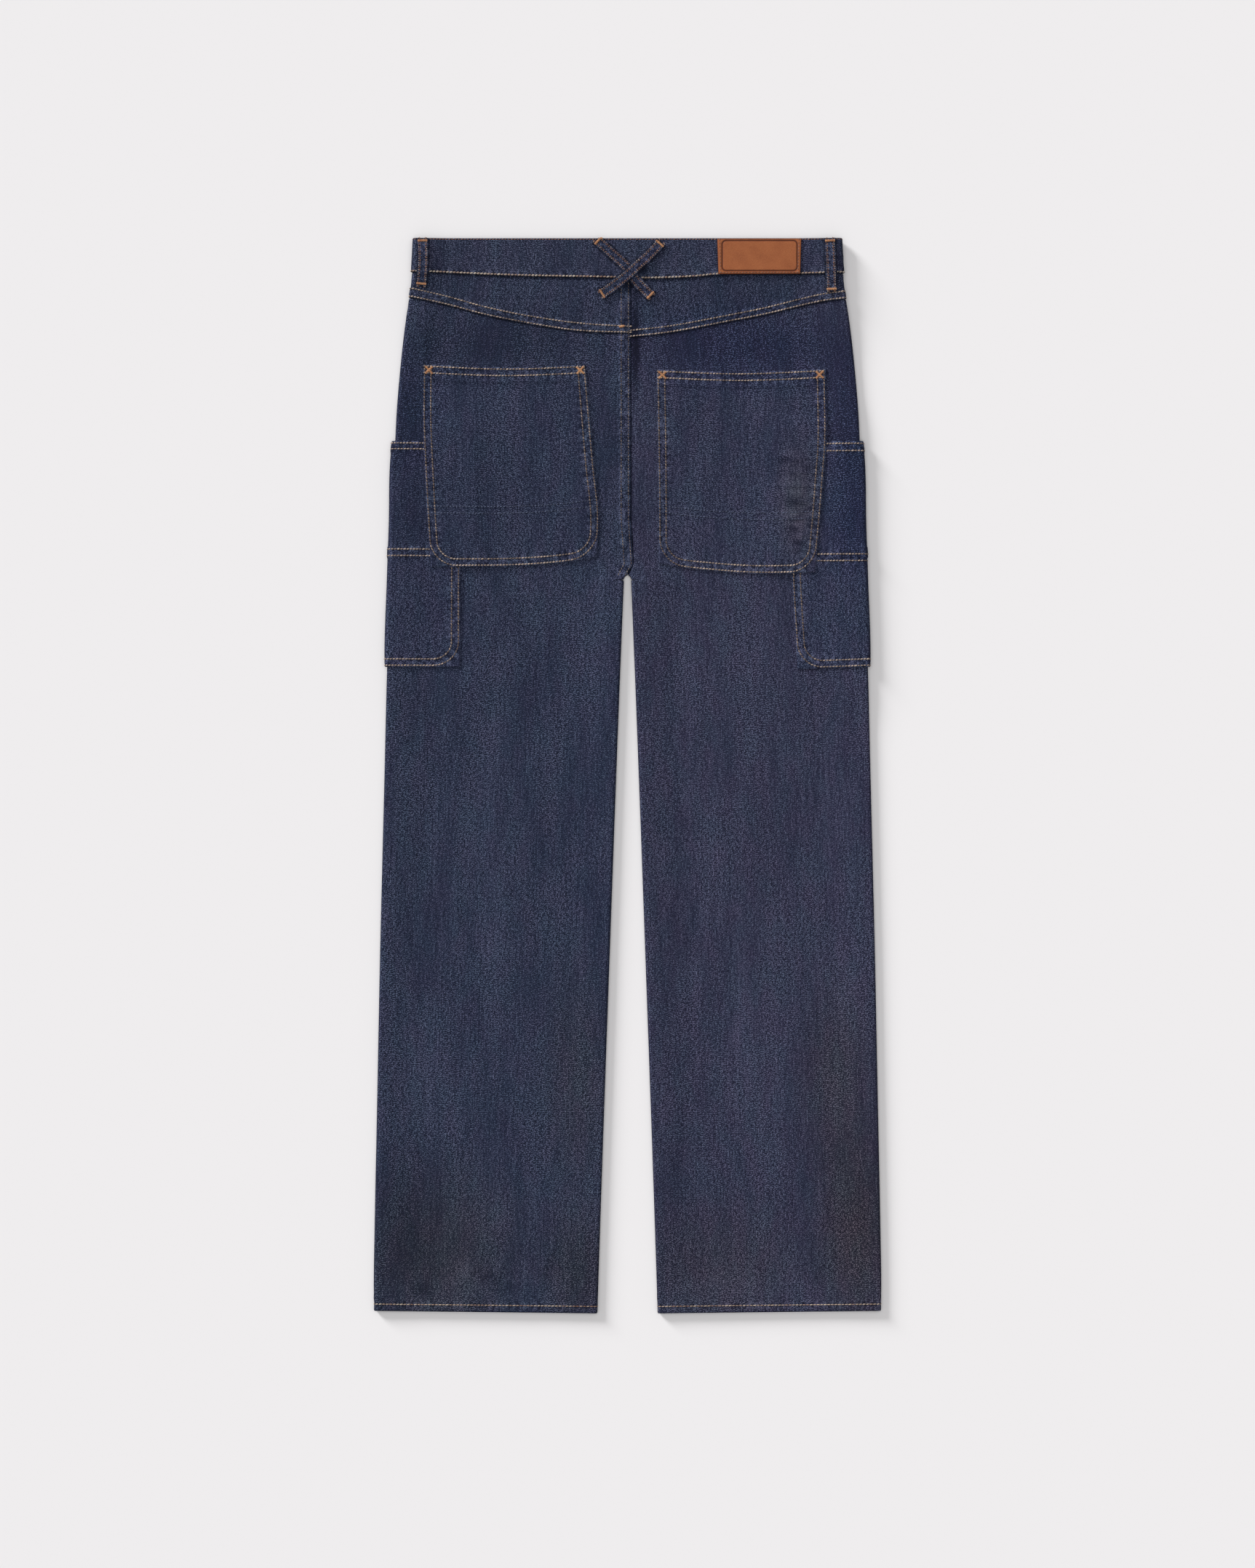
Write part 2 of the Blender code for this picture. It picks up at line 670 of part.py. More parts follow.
def make_waistband():
    """One strip, flattened, whose two ends meet at the centre front."""
    inwards = np.array(WAIST_STATIONS)
    radius = FOLD_RADIUS + WAIST_RAISE
    turns = math.pi * radius * np.arange(FOLD_STEPS + 1) / FOLD_STEPS
    centre = WAIST_WIDTH[0].half - radius
    half = np.concatenate((
        [-(centre - SEAM_GAP / 2)], inwards[::-1] - centre, turns, math.pi * radius + centre - inwards,
    ))
    full = math.pi * radius + centre
    sides = np.concatenate((np.full(len(half), LEFT), [LEFT], np.full(len(half), RIGHT)))
    along = np.concatenate((half, [full], half[::-1]))
    down = np.zeros(len(along))
    for _ in range(3):
        place = section(sides, WAIST_SKIN, down, along, 0.0)
        down = edge_at(WAISTBAND_EDGE, np.where(along > 0.0, place[:, 0], sides * WAIST_SIDE_X))
    share = np.array(STRIP_SHARES)[:, None]
    down = (down - SEAM_GAP / 2) * share
    outer = section(sides, WAIST_SKIN, down, along, 0.0)
    inner = section(sides, WAIST_SKIN, down, along, 2 * CLOTH)
    return cloth_wall("waistband", outer, inner, DENIM["waistband"])


def cargo_cover(x, down):
    """1 where a side pocket lies on the back panel, easing to 0 around it."""
    inner = np.where(x < 0, width_at(CARGO_INNER_EDGE[LEFT], down), width_at(CARGO_INNER_EDGE[RIGHT], down))
    off_x = np.maximum(inner - np.abs(x), 0.0)
    off_down = np.maximum(CARGO_TOP - down, 0.0)
    return 1.0 - smooth((np.hypot(off_x, off_down) - BENEATH_MARGIN) / COVER_EASE)


def make_back_pocket(side, name):
    edges = POCKET_EDGES[side]
    turning = POCKET_TURNING / POCKET_LENGTH
    below = np.linspace(POCKET_FIRST_ROW, 1.0, POCKET_GRID[0])
    row = np.concatenate(([0.0, turning, turning + TURNING_STEP], below))[:, None]
    column = np.linspace(0.0, 1.0, POCKET_GRID[1])
    x, down = coons(edges, row, column)
    low = height(x, down) + SEAM_GAP + OVERLAY * cargo_cover(x, down)
    raised = np.where(row < turning + TURNING_STEP / 2, TURNED_RAISE, 0.0)
    outer = points(x, down, low + CLOTH + raised)
    return cloth_wall(name, outer, points(x, down, low), DENIM["pocket"])


def coons(edges, row, column):
    """Places inside four edges, at shares down and across."""
    place = []
    for axis in (0, 1):
        top = along_edge(edges["top"], column)[axis]
        bottom = along_edge(edges["bottom"], column)[axis]
        left = along_edge(edges["left"], row)[axis]
        right = along_edge(edges["right"], row)[axis]
        corners = (1 - row) * ((1 - column) * top[0] + column * top[-1])
        corners = corners + row * ((1 - column) * bottom[0] + column * bottom[-1])
        place.append((1 - row) * top + row * bottom + (1 - column) * left + column * right - corners)
    return place


def make_cargo_pocket(side, name):
    """A pocket that wraps the outseam, from the back round to the underside."""
    low, high = CARGO_SEAM
    keys = (
        CARGO_TOP, CARGO_TOP + CARGO_TURNING, CARGO_TOP + CARGO_TURNING + SEAM_GAP,
        low - SEAM_GAP, low, high, high + SEAM_GAP, CARGO_BOTTOM,
    )
    rows = spread(keys, CARGO_STEP)[:, None]
    radius = FOLD_RADIUS + OVERLAY
    centre = width_at(CARGO_WIDTH, rows) - radius
    arc = math.pi * radius
    reach = centre - width_at(CARGO_INNER_EDGE[side], rows)
    front = centre - CARGO_FRONT_EDGE
    turns = np.concatenate((arc * np.arange(FOLD_STEPS + 1) / FOLD_STEPS, arc + np.array(SETTLE_STATIONS)))
    turns = np.broadcast_to(turns, (len(rows), len(turns)))
    along = np.concatenate((-front, -front / 2, turns, arc + (reach + SETTLE) / 2, arc + reach), axis=1)
    inwards = np.clip((along - arc) / (reach - arc), 0.0, 1.0)
    drop = CARGO_LOWER_DROP[side] * inwards * smooth((rows - high) / (CARGO_BOTTOM - high))
    down = rows + drop
    turned = rows < CARGO_TOP + CARGO_TURNING + SEAM_GAP / 2
    seamed = (rows > low - SEAM_GAP / 2) & (rows < high + SEAM_GAP / 2)
    on_back = (along > arc / 2) & (along < arc + BENEATH_MARGIN)
    raised = TURNED_RAISE * (turned | seamed) * on_back
    outer = section(side, CARGO_SKIN, down, along, -raised)
    inner = section(side, CARGO_SKIN, down, along, CLOTH)
    return cloth_wall(name, outer, inner, DENIM["cargo"])


def seam_steps(x, down):
    """Height of the waistband above the yoke, easing off below it, then of the yoke's turned edge."""
    below = down - edge_at(WAISTBAND_EDGE, x) - WAIST_STEP_MARGIN
    waist = WAIST_RAISE * (1.0 - smooth(below / WAIST_STEP_EASE))
    yoke_edge = np.where(x < 0, edge_at(YOKE_EDGE[LEFT], x), edge_at(YOKE_EDGE[RIGHT], x))
    band = smooth((down - yoke_edge + YOKE_BAND + YOKE_CLIMB) / YOKE_CLIMB)
    return waist + LAP_RAISE * band


def make_loop(name, route, lift, arch, start_level=None):
    """A belt loop: a strip along its route, lying on the waistband and the yoke."""
    share = np.linspace(0.0, 1.0, LOOP_STATIONS)
    x, down = along_edge(route, share)
    heading = np.stack((np.gradient(x), np.gradient(down)), axis=-1)
    heading /= np.linalg.norm(heading, axis=-1, keepdims=True)
    offsets = LOOP_WIDTH * np.array((-0.5, 0.0, 0.5))
    x = x[:, None] + heading[:, 1:] * offsets
    down = down[:, None] - heading[:, :1] * offsets
    if start_level is not None:
        slide = (start_level - down[0]) / heading[0, 1]
        x[0] += slide * heading[0, 0]
        down[0] = start_level
    bulge = arch * np.sin(math.pi * share)[:, None] ** ARCH_POWER
    low = height(x, down) + seam_steps(x, down) + SEAM_GAP + lift(x, down) + bulge
    return cloth_wall(name, points(x, down, low + LOOP_WALL), points(x, down, low), DENIM["loop"])


def make_front_loop(side, name):
    """A belt loop on the front lies under the waistband, flat on the surface."""
    down = np.array(FRONT_LOOP_ROWS)[:, None]
    x = side * FRONT_LOOP_X + LOOP_WIDTH * np.array((-0.5, 0.0, 0.5))
    step = WAIST_RAISE * (1.0 - smooth((down - FRONT_LOOP_STEP) / FRONT_LOOP_EASE))
    high = ground(x, down) - step - SEAM_GAP
    return cloth_wall(name, points(x, down, high - LOOP_WALL), points(x, down, high), DENIM["loop"])


def make_patch():
    """The leather patch on the waistband."""
    row = np.linspace(0.0, 1.0, PATCH_GRID[0])[:, None]
    column = np.linspace(0.0, 1.0, PATCH_GRID[1])
    place = []
    for axis in (0, 1):
        top_left, top_right, low_left, low_right = (corner[axis] for corner in PATCH_CORNERS)
        top = top_left + (top_right - top_left) * column
        bottom = low_left + (low_right - low_left) * column
        place.append(top + (bottom - top) * row)
    x, down = place
    low = height(x, down) + WAIST_RAISE + SEAM_GAP
    return cloth_wall("patch", points(x, down, low + PATCH_WALL), points(x, down, low), LEATHER, 0.6)


def make_button():
    """The waist button, under the wearer's left end of the waistband."""
    bpy.ops.mesh.primitive_cylinder_add(
        vertices=BUTTON_SIDES, radius=BUTTON_RADIUS, depth=BUTTON_THICK,
        location=(BUTTON_X, LENGTH / 2 - BUTTON_DOWN, BUTTON_THICK / 2),
    )
    button = bpy.context.object
    button.name = "waist_button"
    button.data.name = "waist_button"
    for collection in list(button.users_collection):
        collection.objects.unlink(button)
    bpy.data.collections["cargo_jeans"].objects.link(button)
    rounding = button.modifiers.new("rounding", "BEVEL")
    rounding.width = BUTTON_ROUNDING
    rounding.segments = 1
    button.data.materials.append(material("waist_button", BRASS, 0.35, 1.0))
    return button


def nothing_over(x, down):
    return np.zeros_like(x)


def over_crossing(x, down):
    """Room for the lower strip, where the upper one crosses it."""
    away = np.hypot(x - CROSSING.x, down - CROSSING.down)
    return (LOOP_WALL + SEAM_GAP) * (1.0 - smooth((away - CROSSING_MARGIN) / CROSSING_EASE))


def make_jeans():
    for side, word in ((LEFT, "left"), (RIGHT, "right")):
        make_yoke(side, f"yoke_{word}")
        make_back(side, f"back_{word}")
        make_front(side, f"front_{word}")
        make_back_pocket(side, f"back_pocket_{word}")
        make_cargo_pocket(side, f"cargo_pocket_{word}")
        make_loop(f"belt_loop_{word}", SIDE_LOOPS[side], nothing_over, LOOP_ARCH)
        make_front_loop(side, f"front_belt_loop_{word}")
    make_fly()
    make_waistband()
    make_loop("cross_loop_under", CROSS_UNDER, nothing_over, 0.0, LOOP_START)
    make_loop("cross_loop_over", CROSS_OVER, over_crossing, 0.0, LOOP_START)
    make_patch()
    make_button()


for leftover in list(bpy.data.objects):
    bpy.data.objects.remove(leftover)
bpy.context.scene.collection.children.link(bpy.data.collections.new("cargo_jeans"))
make_jeans()
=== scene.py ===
"""Cargo jeans laid flat on their front and seen straight from above: cloth, sewing, leather, light.

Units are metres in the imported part's frame: +Y runs up to the waist, +X is across and +Z is up.
Places on the jeans are given as x and as `down`, the distance down from the waist's top edge.
"""
import math
from collections import namedtuple

import bpy
import numpy as np
from mathutils import Euler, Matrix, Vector, kdtree


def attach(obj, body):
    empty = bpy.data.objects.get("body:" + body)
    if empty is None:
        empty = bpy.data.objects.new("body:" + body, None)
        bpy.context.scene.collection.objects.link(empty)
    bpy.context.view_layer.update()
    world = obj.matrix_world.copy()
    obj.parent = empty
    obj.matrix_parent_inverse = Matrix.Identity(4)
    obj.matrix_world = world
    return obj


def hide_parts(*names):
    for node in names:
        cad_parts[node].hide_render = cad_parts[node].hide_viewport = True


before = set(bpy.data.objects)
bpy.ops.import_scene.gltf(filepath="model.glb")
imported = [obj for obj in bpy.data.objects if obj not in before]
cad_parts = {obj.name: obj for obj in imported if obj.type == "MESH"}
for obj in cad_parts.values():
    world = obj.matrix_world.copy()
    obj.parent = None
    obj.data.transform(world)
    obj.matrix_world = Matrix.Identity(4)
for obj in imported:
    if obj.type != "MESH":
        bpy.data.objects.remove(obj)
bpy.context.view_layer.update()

# Sizes of the cut and sewn pieces, as in the part's source.
LENGTH = 1.0715
CLOTH = 0.0012
SEAM_GAP = 0.0003
LAP_RAISE = 0.0008
TURNED_RAISE = 0.0006
TURNED_EASE = 0.0040
FOLD_RADIUS = 0.0027
FOLD_ARC = math.pi * FOLD_RADIUS
SETTLE = 0.045
STACK = 2 * CLOTH + SEAM_GAP
OVERLAY = CLOTH + SEAM_GAP
UNDER_OUT = 0.012
UNDER_IN = 0.0105
WAIST_RAISE = 0.0012
WAIST_FLAT = 0.052
WAIST_EASE = 0.080
WAIST_SIDE_X = 0.216
HEM_DEPTH = 0.009
HEM_WALL = 0.0024
HEM_EASE = 0.030
HEM_SKEW = 1.0
HEM_INNER_X = 0.030
HEM_OUTER_RISE = 0.0025
PANEL_WIDTH = 0.22
PANEL_REACH = 0.235
YOKE_BAND = 0.0095
YOKE_CLIMB = 0.008
YOKE_SKEW = 0.10
WAIST_STEP_MARGIN = 0.002
WAIST_STEP_EASE = 0.014
FELL_FADE = (0.296, 0.326)
LOOP_WIDTH = 0.012
LOOP_WALL = 0.0015
LOOP_ARCH = 0.0010
LOOP_START = 0.0004
ARCH_POWER = 0.7
FRONT_TRIM = LOOP_WALL + SEAM_GAP
FRONT_LOOP_X = 0.112
FRONT_LOOP_END = 0.050
FRONT_LOOP_STEP = 0.0365
FRONT_LOOP_EASE = 0.006
PATCH_WALL = 0.0015
PATCH_ROUNDING = 0.0004
PATCH_ROUNDING_WIDTH = 0.0009
PRESSED_WIDTH = 0.0006
PRESSED_DEPTH = 0.0005
POCKET_TURNING = 0.0145
POCKET_LENGTH = 0.200
POCKET_WIDTH = 0.163
CROTCH = 0.336
CROTCH_EASE = 0.012
CURLED = CROTCH + 0.005
CURLED_SHARE = 0.9
SLOT_RADIUS = 0.0034
FRONT_PART = (CROTCH - 0.002, CROTCH + 0.002, CROTCH + 0.0042)
CARGO_TOP = 0.2021
CARGO_BOTTOM = 0.4270
CARGO_FRONT_EDGE = 0.160
CARGO_SEAM = (0.3080, 0.3180)
CARGO_TURNING = 0.0090
CARGO_SHOWN = 0.025
CARGO_SHOWN_EASE = 0.004
BUTTON_X = -0.018
BUTTON_DOWN = 0.017
FLY_WIDTH = 0.040
FLY_STRAIGHT = 0.130
FLY_END = 0.169
FLY_CURVE = 0.042
FLY_CORNER = 0.002
BENEATH_MARGIN = 0.012
BENEATH_EASE = 0.048
COVER_EASE = 0.020
CROSSING_MARGIN = 0.013
CROSSING_EASE = 0.018
LEFT = -1
RIGHT = 1

Station = namedtuple("Station", "down half")
EdgePoint = namedtuple("EdgePoint", "x down")
Beneath = namedtuple("Beneath", "x_low x_high down_low down_high")
Ridge = namedtuple("Ridge", "x down half_width half_length height")
Crease = namedtuple("Crease", "x down lean half_width half_length height")
Fade = namedtuple("Fade", "x down half_width half_length amount")
Skin = namedtuple("Skin", "widths raised")
Row = namedtuple("Row", "points out pucker slant")
Columns = namedtuple("Columns", "fixed share from_edge")


def table(kind, *rows):
    """Rows with named columns."""
    return tuple(kind(*row) for row in rows)


BODY_WIDTH = table(
    Station,
    (0.000, 0.2128), (0.036, 0.2148), (0.055, 0.2168), (0.081, 0.2208), (0.110, 0.2245), (0.140, 0.2275),
    (0.170, 0.2299), (0.203, 0.2315), (0.300, 0.2350), (0.428, 0.2396), (0.560, 0.2429), (0.705, 0.2465),
    (0.850, 0.2494), (0.995, 0.2523), (1.0385, 0.2530), (1.0715, 0.2527),
)
WAIST_WIDTH = table(Station, (0.000, 0.2140), (0.036, 0.2160))
CARGO_WIDTH = table(
    Station,
    (0.2021, 0.2347), (0.226, 0.2369), (0.284, 0.2380), (0.342, 0.2400), (0.418, 0.2423),
    (0.427, 0.2420),
)
LEG_GAP = table(
    Station,
    (0.336, 0.0034), (0.458, 0.0083), (0.705, 0.0174), (0.995, 0.0276), (1.0715, 0.0300),
)
SEAT_SEAM = table(EdgePoint, (0.0033, 0.000), (0.0033, 0.280), (0.0062, 0.324), (0.0000, 0.336))
WAISTBAND_EDGE = table(
    EdgePoint,
    (-0.216, 0.0340), (-0.197, 0.0344), (-0.112, 0.0378), (-0.035, 0.0393), (0.023, 0.0405),
    (0.072, 0.0384), (0.087, 0.0368), (0.175, 0.0359), (0.216, 0.0350),
)
YOKE_EDGE = {
    LEFT: table(
        EdgePoint,
        (-0.2153, 0.0595), (-0.1784, 0.0674), (-0.1421, 0.0769), (-0.0812, 0.0885), (-0.0500, 0.0928),
        (0.0040, 0.0950),
    ),
    RIGHT: table(
        EdgePoint,
        (0.0030, 0.0989), (0.0413, 0.0946), (0.1022, 0.0834), (0.1327, 0.0776), (0.1936, 0.0638),
        (0.2168, 0.0609),
    ),
}
POCKET_EDGES = {
    LEFT: {
        "top": table(EdgePoint, (-0.2034, 0.1252), (-0.1225, 0.1283), (-0.0419, 0.1257)),
        "bottom": table(
            EdgePoint,
            (-0.1955, 0.3274), (-0.1731, 0.3274), (-0.1148, 0.3266), (-0.0682, 0.3233),
            (-0.0307, 0.3174),
        ),
        "left": table(
            EdgePoint,
            (-0.2034, 0.1252), (-0.2039, 0.1768), (-0.2013, 0.2434), (-0.1980, 0.3016),
            (-0.1955, 0.3274),
        ),
        "right": table(
            EdgePoint,
            (-0.0419, 0.1257), (-0.0332, 0.2267), (-0.0283, 0.2767), (-0.0307, 0.3174),
        ),
    },
    RIGHT: {
        "top": table(EdgePoint, (0.0288, 0.1304), (0.1131, 0.1330), (0.1973, 0.1298)),
        "bottom": table(
            EdgePoint,
            (0.0311, 0.3237), (0.0602, 0.3287), (0.0838, 0.3311), (0.1137, 0.3335), (0.1498, 0.3342),
            (0.1867, 0.3326),
        ),
        "left": table(EdgePoint, (0.0288, 0.1304), (0.0296, 0.1731), (0.0307, 0.2516), (0.0311, 0.3237)),
        "right": table(
            EdgePoint,
            (0.1973, 0.1298), (0.1978, 0.2045), (0.1954, 0.2360), (0.1923, 0.2753), (0.1867, 0.3326),
        ),
    },
}
CARGO_INNER_EDGE = {
    LEFT: table(Station, (0.2021, 0.1668), (0.4270, 0.1668)),
    RIGHT: table(Station, (0.2021, 0.1630), (0.3350, 0.1639), (0.4297, 0.1695)),
}
CARGO_LOWER_DROP = {LEFT: 0.0, RIGHT: 0.0020}
PATCH_CORNERS = table(EdgePoint, (0.0892, 0.0007), (0.1731, 0.0005), (0.0904, 0.0359), (0.1720, 0.0356))
SIDE_LOOPS = {
    LEFT: table(EdgePoint, (-0.2039, 0.0004), (-0.2034, 0.0240), (-0.2053, 0.0484)),
    RIGHT: table(EdgePoint, (0.2013, 0.0004), (0.2023, 0.0260), (0.2032, 0.0537)),
}
CROSS_OVER = table(
    EdgePoint,
    (0.0339, 0.0036), (0.0217, 0.0169), (0.0096, 0.0281), (-0.0033, 0.0398), (-0.0220, 0.0531),
    (-0.0274, 0.0567),
)
CROSS_UNDER = table(
    EdgePoint,
    (-0.0312, 0.0011), (-0.0160, 0.0149), (-0.0020, 0.0277), (0.0080, 0.0419), (0.0247, 0.0587),
)
CROSSING = EdgePoint(0.0030, 0.0340)
BENEATH = table(
    Beneath,
    (-0.300, -CARGO_FRONT_EDGE, CARGO_TOP, CARGO_BOTTOM),
    (CARGO_FRONT_EDGE, 0.300, CARGO_TOP, CARGO_BOTTOM + CARGO_LOWER_DROP[RIGHT]),
)
RIDGES = table(
    Ridge,
    (-0.118, 0.720, 0.050, 0.230, 0.0011),
    (-0.170, 0.900, 0.040, 0.140, 0.0008),
    (0.104, 0.640, 0.050, 0.180, 0.0010),
    (0.160, 0.860, 0.045, 0.200, 0.0011),
)

# Soft troughs and ridges. A lean of 0 runs down the leg, in degrees.
CREASES = table(
    Crease,
    (-0.001, 0.086, 0, 0.0075, 0.062, 0.0014),
    (-0.001, 0.200, 0, 0.0060, 0.110, 0.0004),
    (0.151, 0.262, 4, 0.006, 0.060, -0.0006),
    (0.136, 0.180, -8, 0.005, 0.034, 0.0004),
    (0.078, 0.240, 3, 0.009, 0.070, 0.0004),
    (-0.100, 0.235, -3, 0.010, 0.060, 0.0005),
    (-0.150, 0.290, 12, 0.008, 0.030, -0.0004),
    (-0.066, 0.200, 2, 0.007, 0.045, -0.0004),
    (0.170, 0.219, 80, 0.0032, 0.014, 0.0007),
    (0.175, 0.234, 97, 0.0030, 0.018, 0.0008),
    (0.168, 0.248, 86, 0.0032, 0.022, 0.0007),
    (0.176, 0.263, 92, 0.0030, 0.018, 0.0009),
    (0.169, 0.279, 99, 0.0032, 0.022, 0.0007),
    (0.174, 0.296, 84, 0.0030, 0.018, 0.0008),
    (0.166, 0.311, 92, 0.0032, 0.016, 0.0006),
    (-0.132, 0.560, 1, 0.014, 0.150, 0.0005),
    (-0.094, 0.450, -2, 0.012, 0.080, -0.0005),
    (-0.205, 0.520, 3, 0.010, 0.090, 0.0004),
    (-0.062, 0.860, -3, 0.012, 0.120, 0.0004),
    (-0.180, 0.985, -22, 0.008, 0.035, 0.0004),
    (-0.080, 1.020, 24, 0.006, 0.034, 0.0010),
    (-0.132, 1.034, 28, 0.005, 0.030, 0.0010),
    (-0.158, 1.036, 34, 0.005, 0.026, 0.0008),
    (-0.058, 1.035, 22, 0.005, 0.024, 0.0008),
    (-0.205, 1.038, -28, 0.005, 0.020, 0.0007),
    (0.070, 1.040, -24, 0.005, 0.020, 0.0006),
    (0.190, 1.032, 30, 0.005, 0.024, 0.0007),
    (0.071, 0.480, 2, 0.013, 0.150, 0.0005),
    (0.125, 0.800, -1, 0.014, 0.120, 0.0006),
    (0.192, 0.455, -5, 0.005, 0.026, 0.0005),
    (0.204, 0.470, -7, 0.005, 0.030, -0.0004),
    (0.214, 0.620, 4, 0.009, 0.070, 0.0005),
    (0.056, 0.930, 3, 0.010, 0.090, -0.0004),
    (0.200, 0.960, 14, 0.008, 0.050, 0.0005),
    (0.150, 1.010, -20, 0.007, 0.030, -0.0004),
    (0.090, 0.365, 90, 0.010, 0.040, 0.0004),
    (-0.090, 0.355, 88, 0.009, 0.038, 0.0004),
    (0.110, 0.112, 85, 0.007, 0.050, 0.0004),
    (-0.130, 0.106, 96, 0.007, 0.045, 0.0004),
)
RIPPLE = 0.00014
RIPPLE_WIDTH = 0.015
RIPPLE_LENGTH = 0.070
CREASE_INLAND = 0.030
CREASE_BEND = 0.6
CREASE_BEND_LENGTH = 0.03

# Soft spots where the cloth is lighter or darker: most where the indigo has washed lighter or stayed
# darker; the first four and the one at x -0.198 are painted shade, beside the fold along the centre seam,
# next to where the belt loops cross, and along a crease by the left back pocket.
DYE_AND_SHADE_SPOTS = table(
    Fade,
    # Painted shade beside the fold right of the centre seam.
    (0.0085, 0.096, 0.0045, 0.040, -6.5),
    (0.0085, 0.128, 0.0040, 0.034, -3.5),
    # Painted shade beside and below where the belt loops cross.
    (0.0150, 0.031, 0.0055, 0.0045, -6.0),
    (0.0015, 0.046, 0.0045, 0.0045, -8.0),
    # Painted shade along a crease by the left back pocket.
    (-0.198, 0.108, 0.0060, 0.026, -1.4),
    (-0.114, 0.057, 0.120, 0.022, -0.5),
    (0.115, 0.060, 0.120, 0.022, -0.8),
    (-0.125, 0.103, 0.110, 0.032, -1.4),
    (0.115, 0.107, 0.115, 0.036, -2.4),
    (-0.023, 0.226, 0.020, 0.120, -0.5),
    (-0.218, 0.168, 0.032, 0.060, -2.0),
    (0.220, 0.168, 0.032, 0.064, -2.4),
    (-0.2175, 0.262, 0.030, 0.075, -0.7),
    (-0.200, 0.371, 0.050, 0.055, -0.3),
    (0.170, 0.266, 0.024, 0.066, 1.0),
    (0.159, 0.2135, 0.011, 0.0040, 1.8),
    (0.157, 0.2205, 0.009, 0.0035, -3.0),
    (0.178, 0.2300, 0.007, 0.0050, -2.0),
    (0.158, 0.2420, 0.010, 0.0050, 1.6),
    (0.163, 0.2525, 0.011, 0.0035, 1.8),
    (0.167, 0.2620, 0.010, 0.0040, -2.6),
    (0.161, 0.2735, 0.012, 0.0045, 1.8),
    (0.171, 0.2840, 0.008, 0.0060, 2.2),
    (0.163, 0.2900, 0.008, 0.0035, -2.0),
    (0.172, 0.2975, 0.008, 0.0035, 2.2),
    (0.171, 0.3040, 0.009, 0.0035, -2.8),
    (0.222, 0.270, 0.024, 0.080, -2.0),
    (-0.132, 0.567, 0.022, 0.160, 0.35),
    (-0.094, 0.444, 0.020, 0.070, -0.5),
    (-0.208, 0.828, 0.024, 0.070, 0.9),
    (-0.2226, 0.990, 0.046, 0.100, -1.0),
    (-0.150, 0.958, 0.030, 0.050, 0.35),
    (-0.038, 0.705, 0.030, 0.300, -0.35),
    (0.140, 0.650, 0.140, 0.420, 0.20),
    (0.071, 0.473, 0.030, 0.160, 0.35),
    (0.125, 0.814, 0.030, 0.100, 0.6),
    (0.202, 0.574, 0.030, 0.080, 0.4),
    (0.042, 1.009, 0.030, 0.060, -0.5),
    (-0.050, 1.030, 0.034, 0.060, -0.9),
    (-0.138, 1.036, 0.010, 0.008, -2.2),
    (-0.206, 1.048, 0.012, 0.007, -2.2),
    (-0.165, 1.028, 0.012, 0.014, 1.0),
    (-0.120, 1.046, 0.016, 0.006, -1.6),
    (0.111, 0.745, 0.012, 0.130, 0.5),
    (-0.132, 0.690, 0.014, 0.130, 0.4),
    (0.226, 0.975, 0.034, 0.110, -1.0),
)

# Where the cloth looks greyer and warmer, or bluer where negative.
WARM_SPOTS = table(
    Fade,
    (-0.190, 1.020, 0.090, 0.100, 1.3),
    (-0.050, 1.030, 0.040, 0.070, 1.2),
    (-0.050, 0.840, 0.035, 0.120, 0.8),
    (0.230, 0.990, 0.045, 0.110, 1.6),
    (0.210, 0.840, 0.040, 0.100, 1.0),
    (0.090, 1.030, 0.090, 0.070, 0.8),
    (0.170, 0.262, 0.022, 0.060, 1.1),
    (0.115, 0.107, 0.115, 0.045, -1.1),
    (0.220, 0.168, 0.032, 0.060, -0.9),
    (0.225, 0.270, 0.030, 0.080, -0.9),
    (-0.215, 0.168, 0.035, 0.070, -0.5),
)

# Sewing. Twin needles stand a quarter of an inch apart.
TWIN = 0.00635
EDGE_ROW = 0.0015
TWIN_ROWS = (EDGE_ROW, EDGE_ROW + TWIN)
WAIST_ROWS = (0.0012, 0.0013)
HEM_ROW = 0.0070
POCKET_TOP_ROWS = (0.0020, 0.0085)
POCKET_TONAL_ROWS = (0.700, 0.733)
CORNER_RADIUS = 0.0250
CARGO_ROWS = {LEFT: (0.0020, 0.0078, 0.1076, 0.1141), RIGHT: (0.0024, 0.0096, 0.1125, 0.1190)}
SEAT_ROWS = (0.0024, 0.0095)
SEAT_ROW_ENDS = (0.0420, CROTCH - 0.0012)
SEAT_TACK = ((-0.0080, 0.0880), (-0.0034, 0.0874))
YOKE_ROW_GAP = {
    LEFT: ((0.0, 0.0058), (0.05, 0.0072), (0.11, 0.0068), (0.215, 0.0080)),
    RIGHT: ((0.0, 0.0058), (0.10, 0.0056), (0.215, 0.0066)),
}
LOOP_ROWS = (0.0039, 0.0027)
FLY_ROW_ENDS = (0.040, FLY_END - 0.006)
PATCH_END_ROWS = (0.030, 0.970)
PATCH_LOW_ROW = 0.955
BARTACK = 0.0090
BARTACK_INSET = 0.0026
CROSS_TACK = (0.0024, 0.0090)
SAMPLE = 0.0008

# Heights count more, so that sewing under another layer hardly marks the one above.
LAYER_STRETCH = np.array((1.0, 1.0, 4.0))

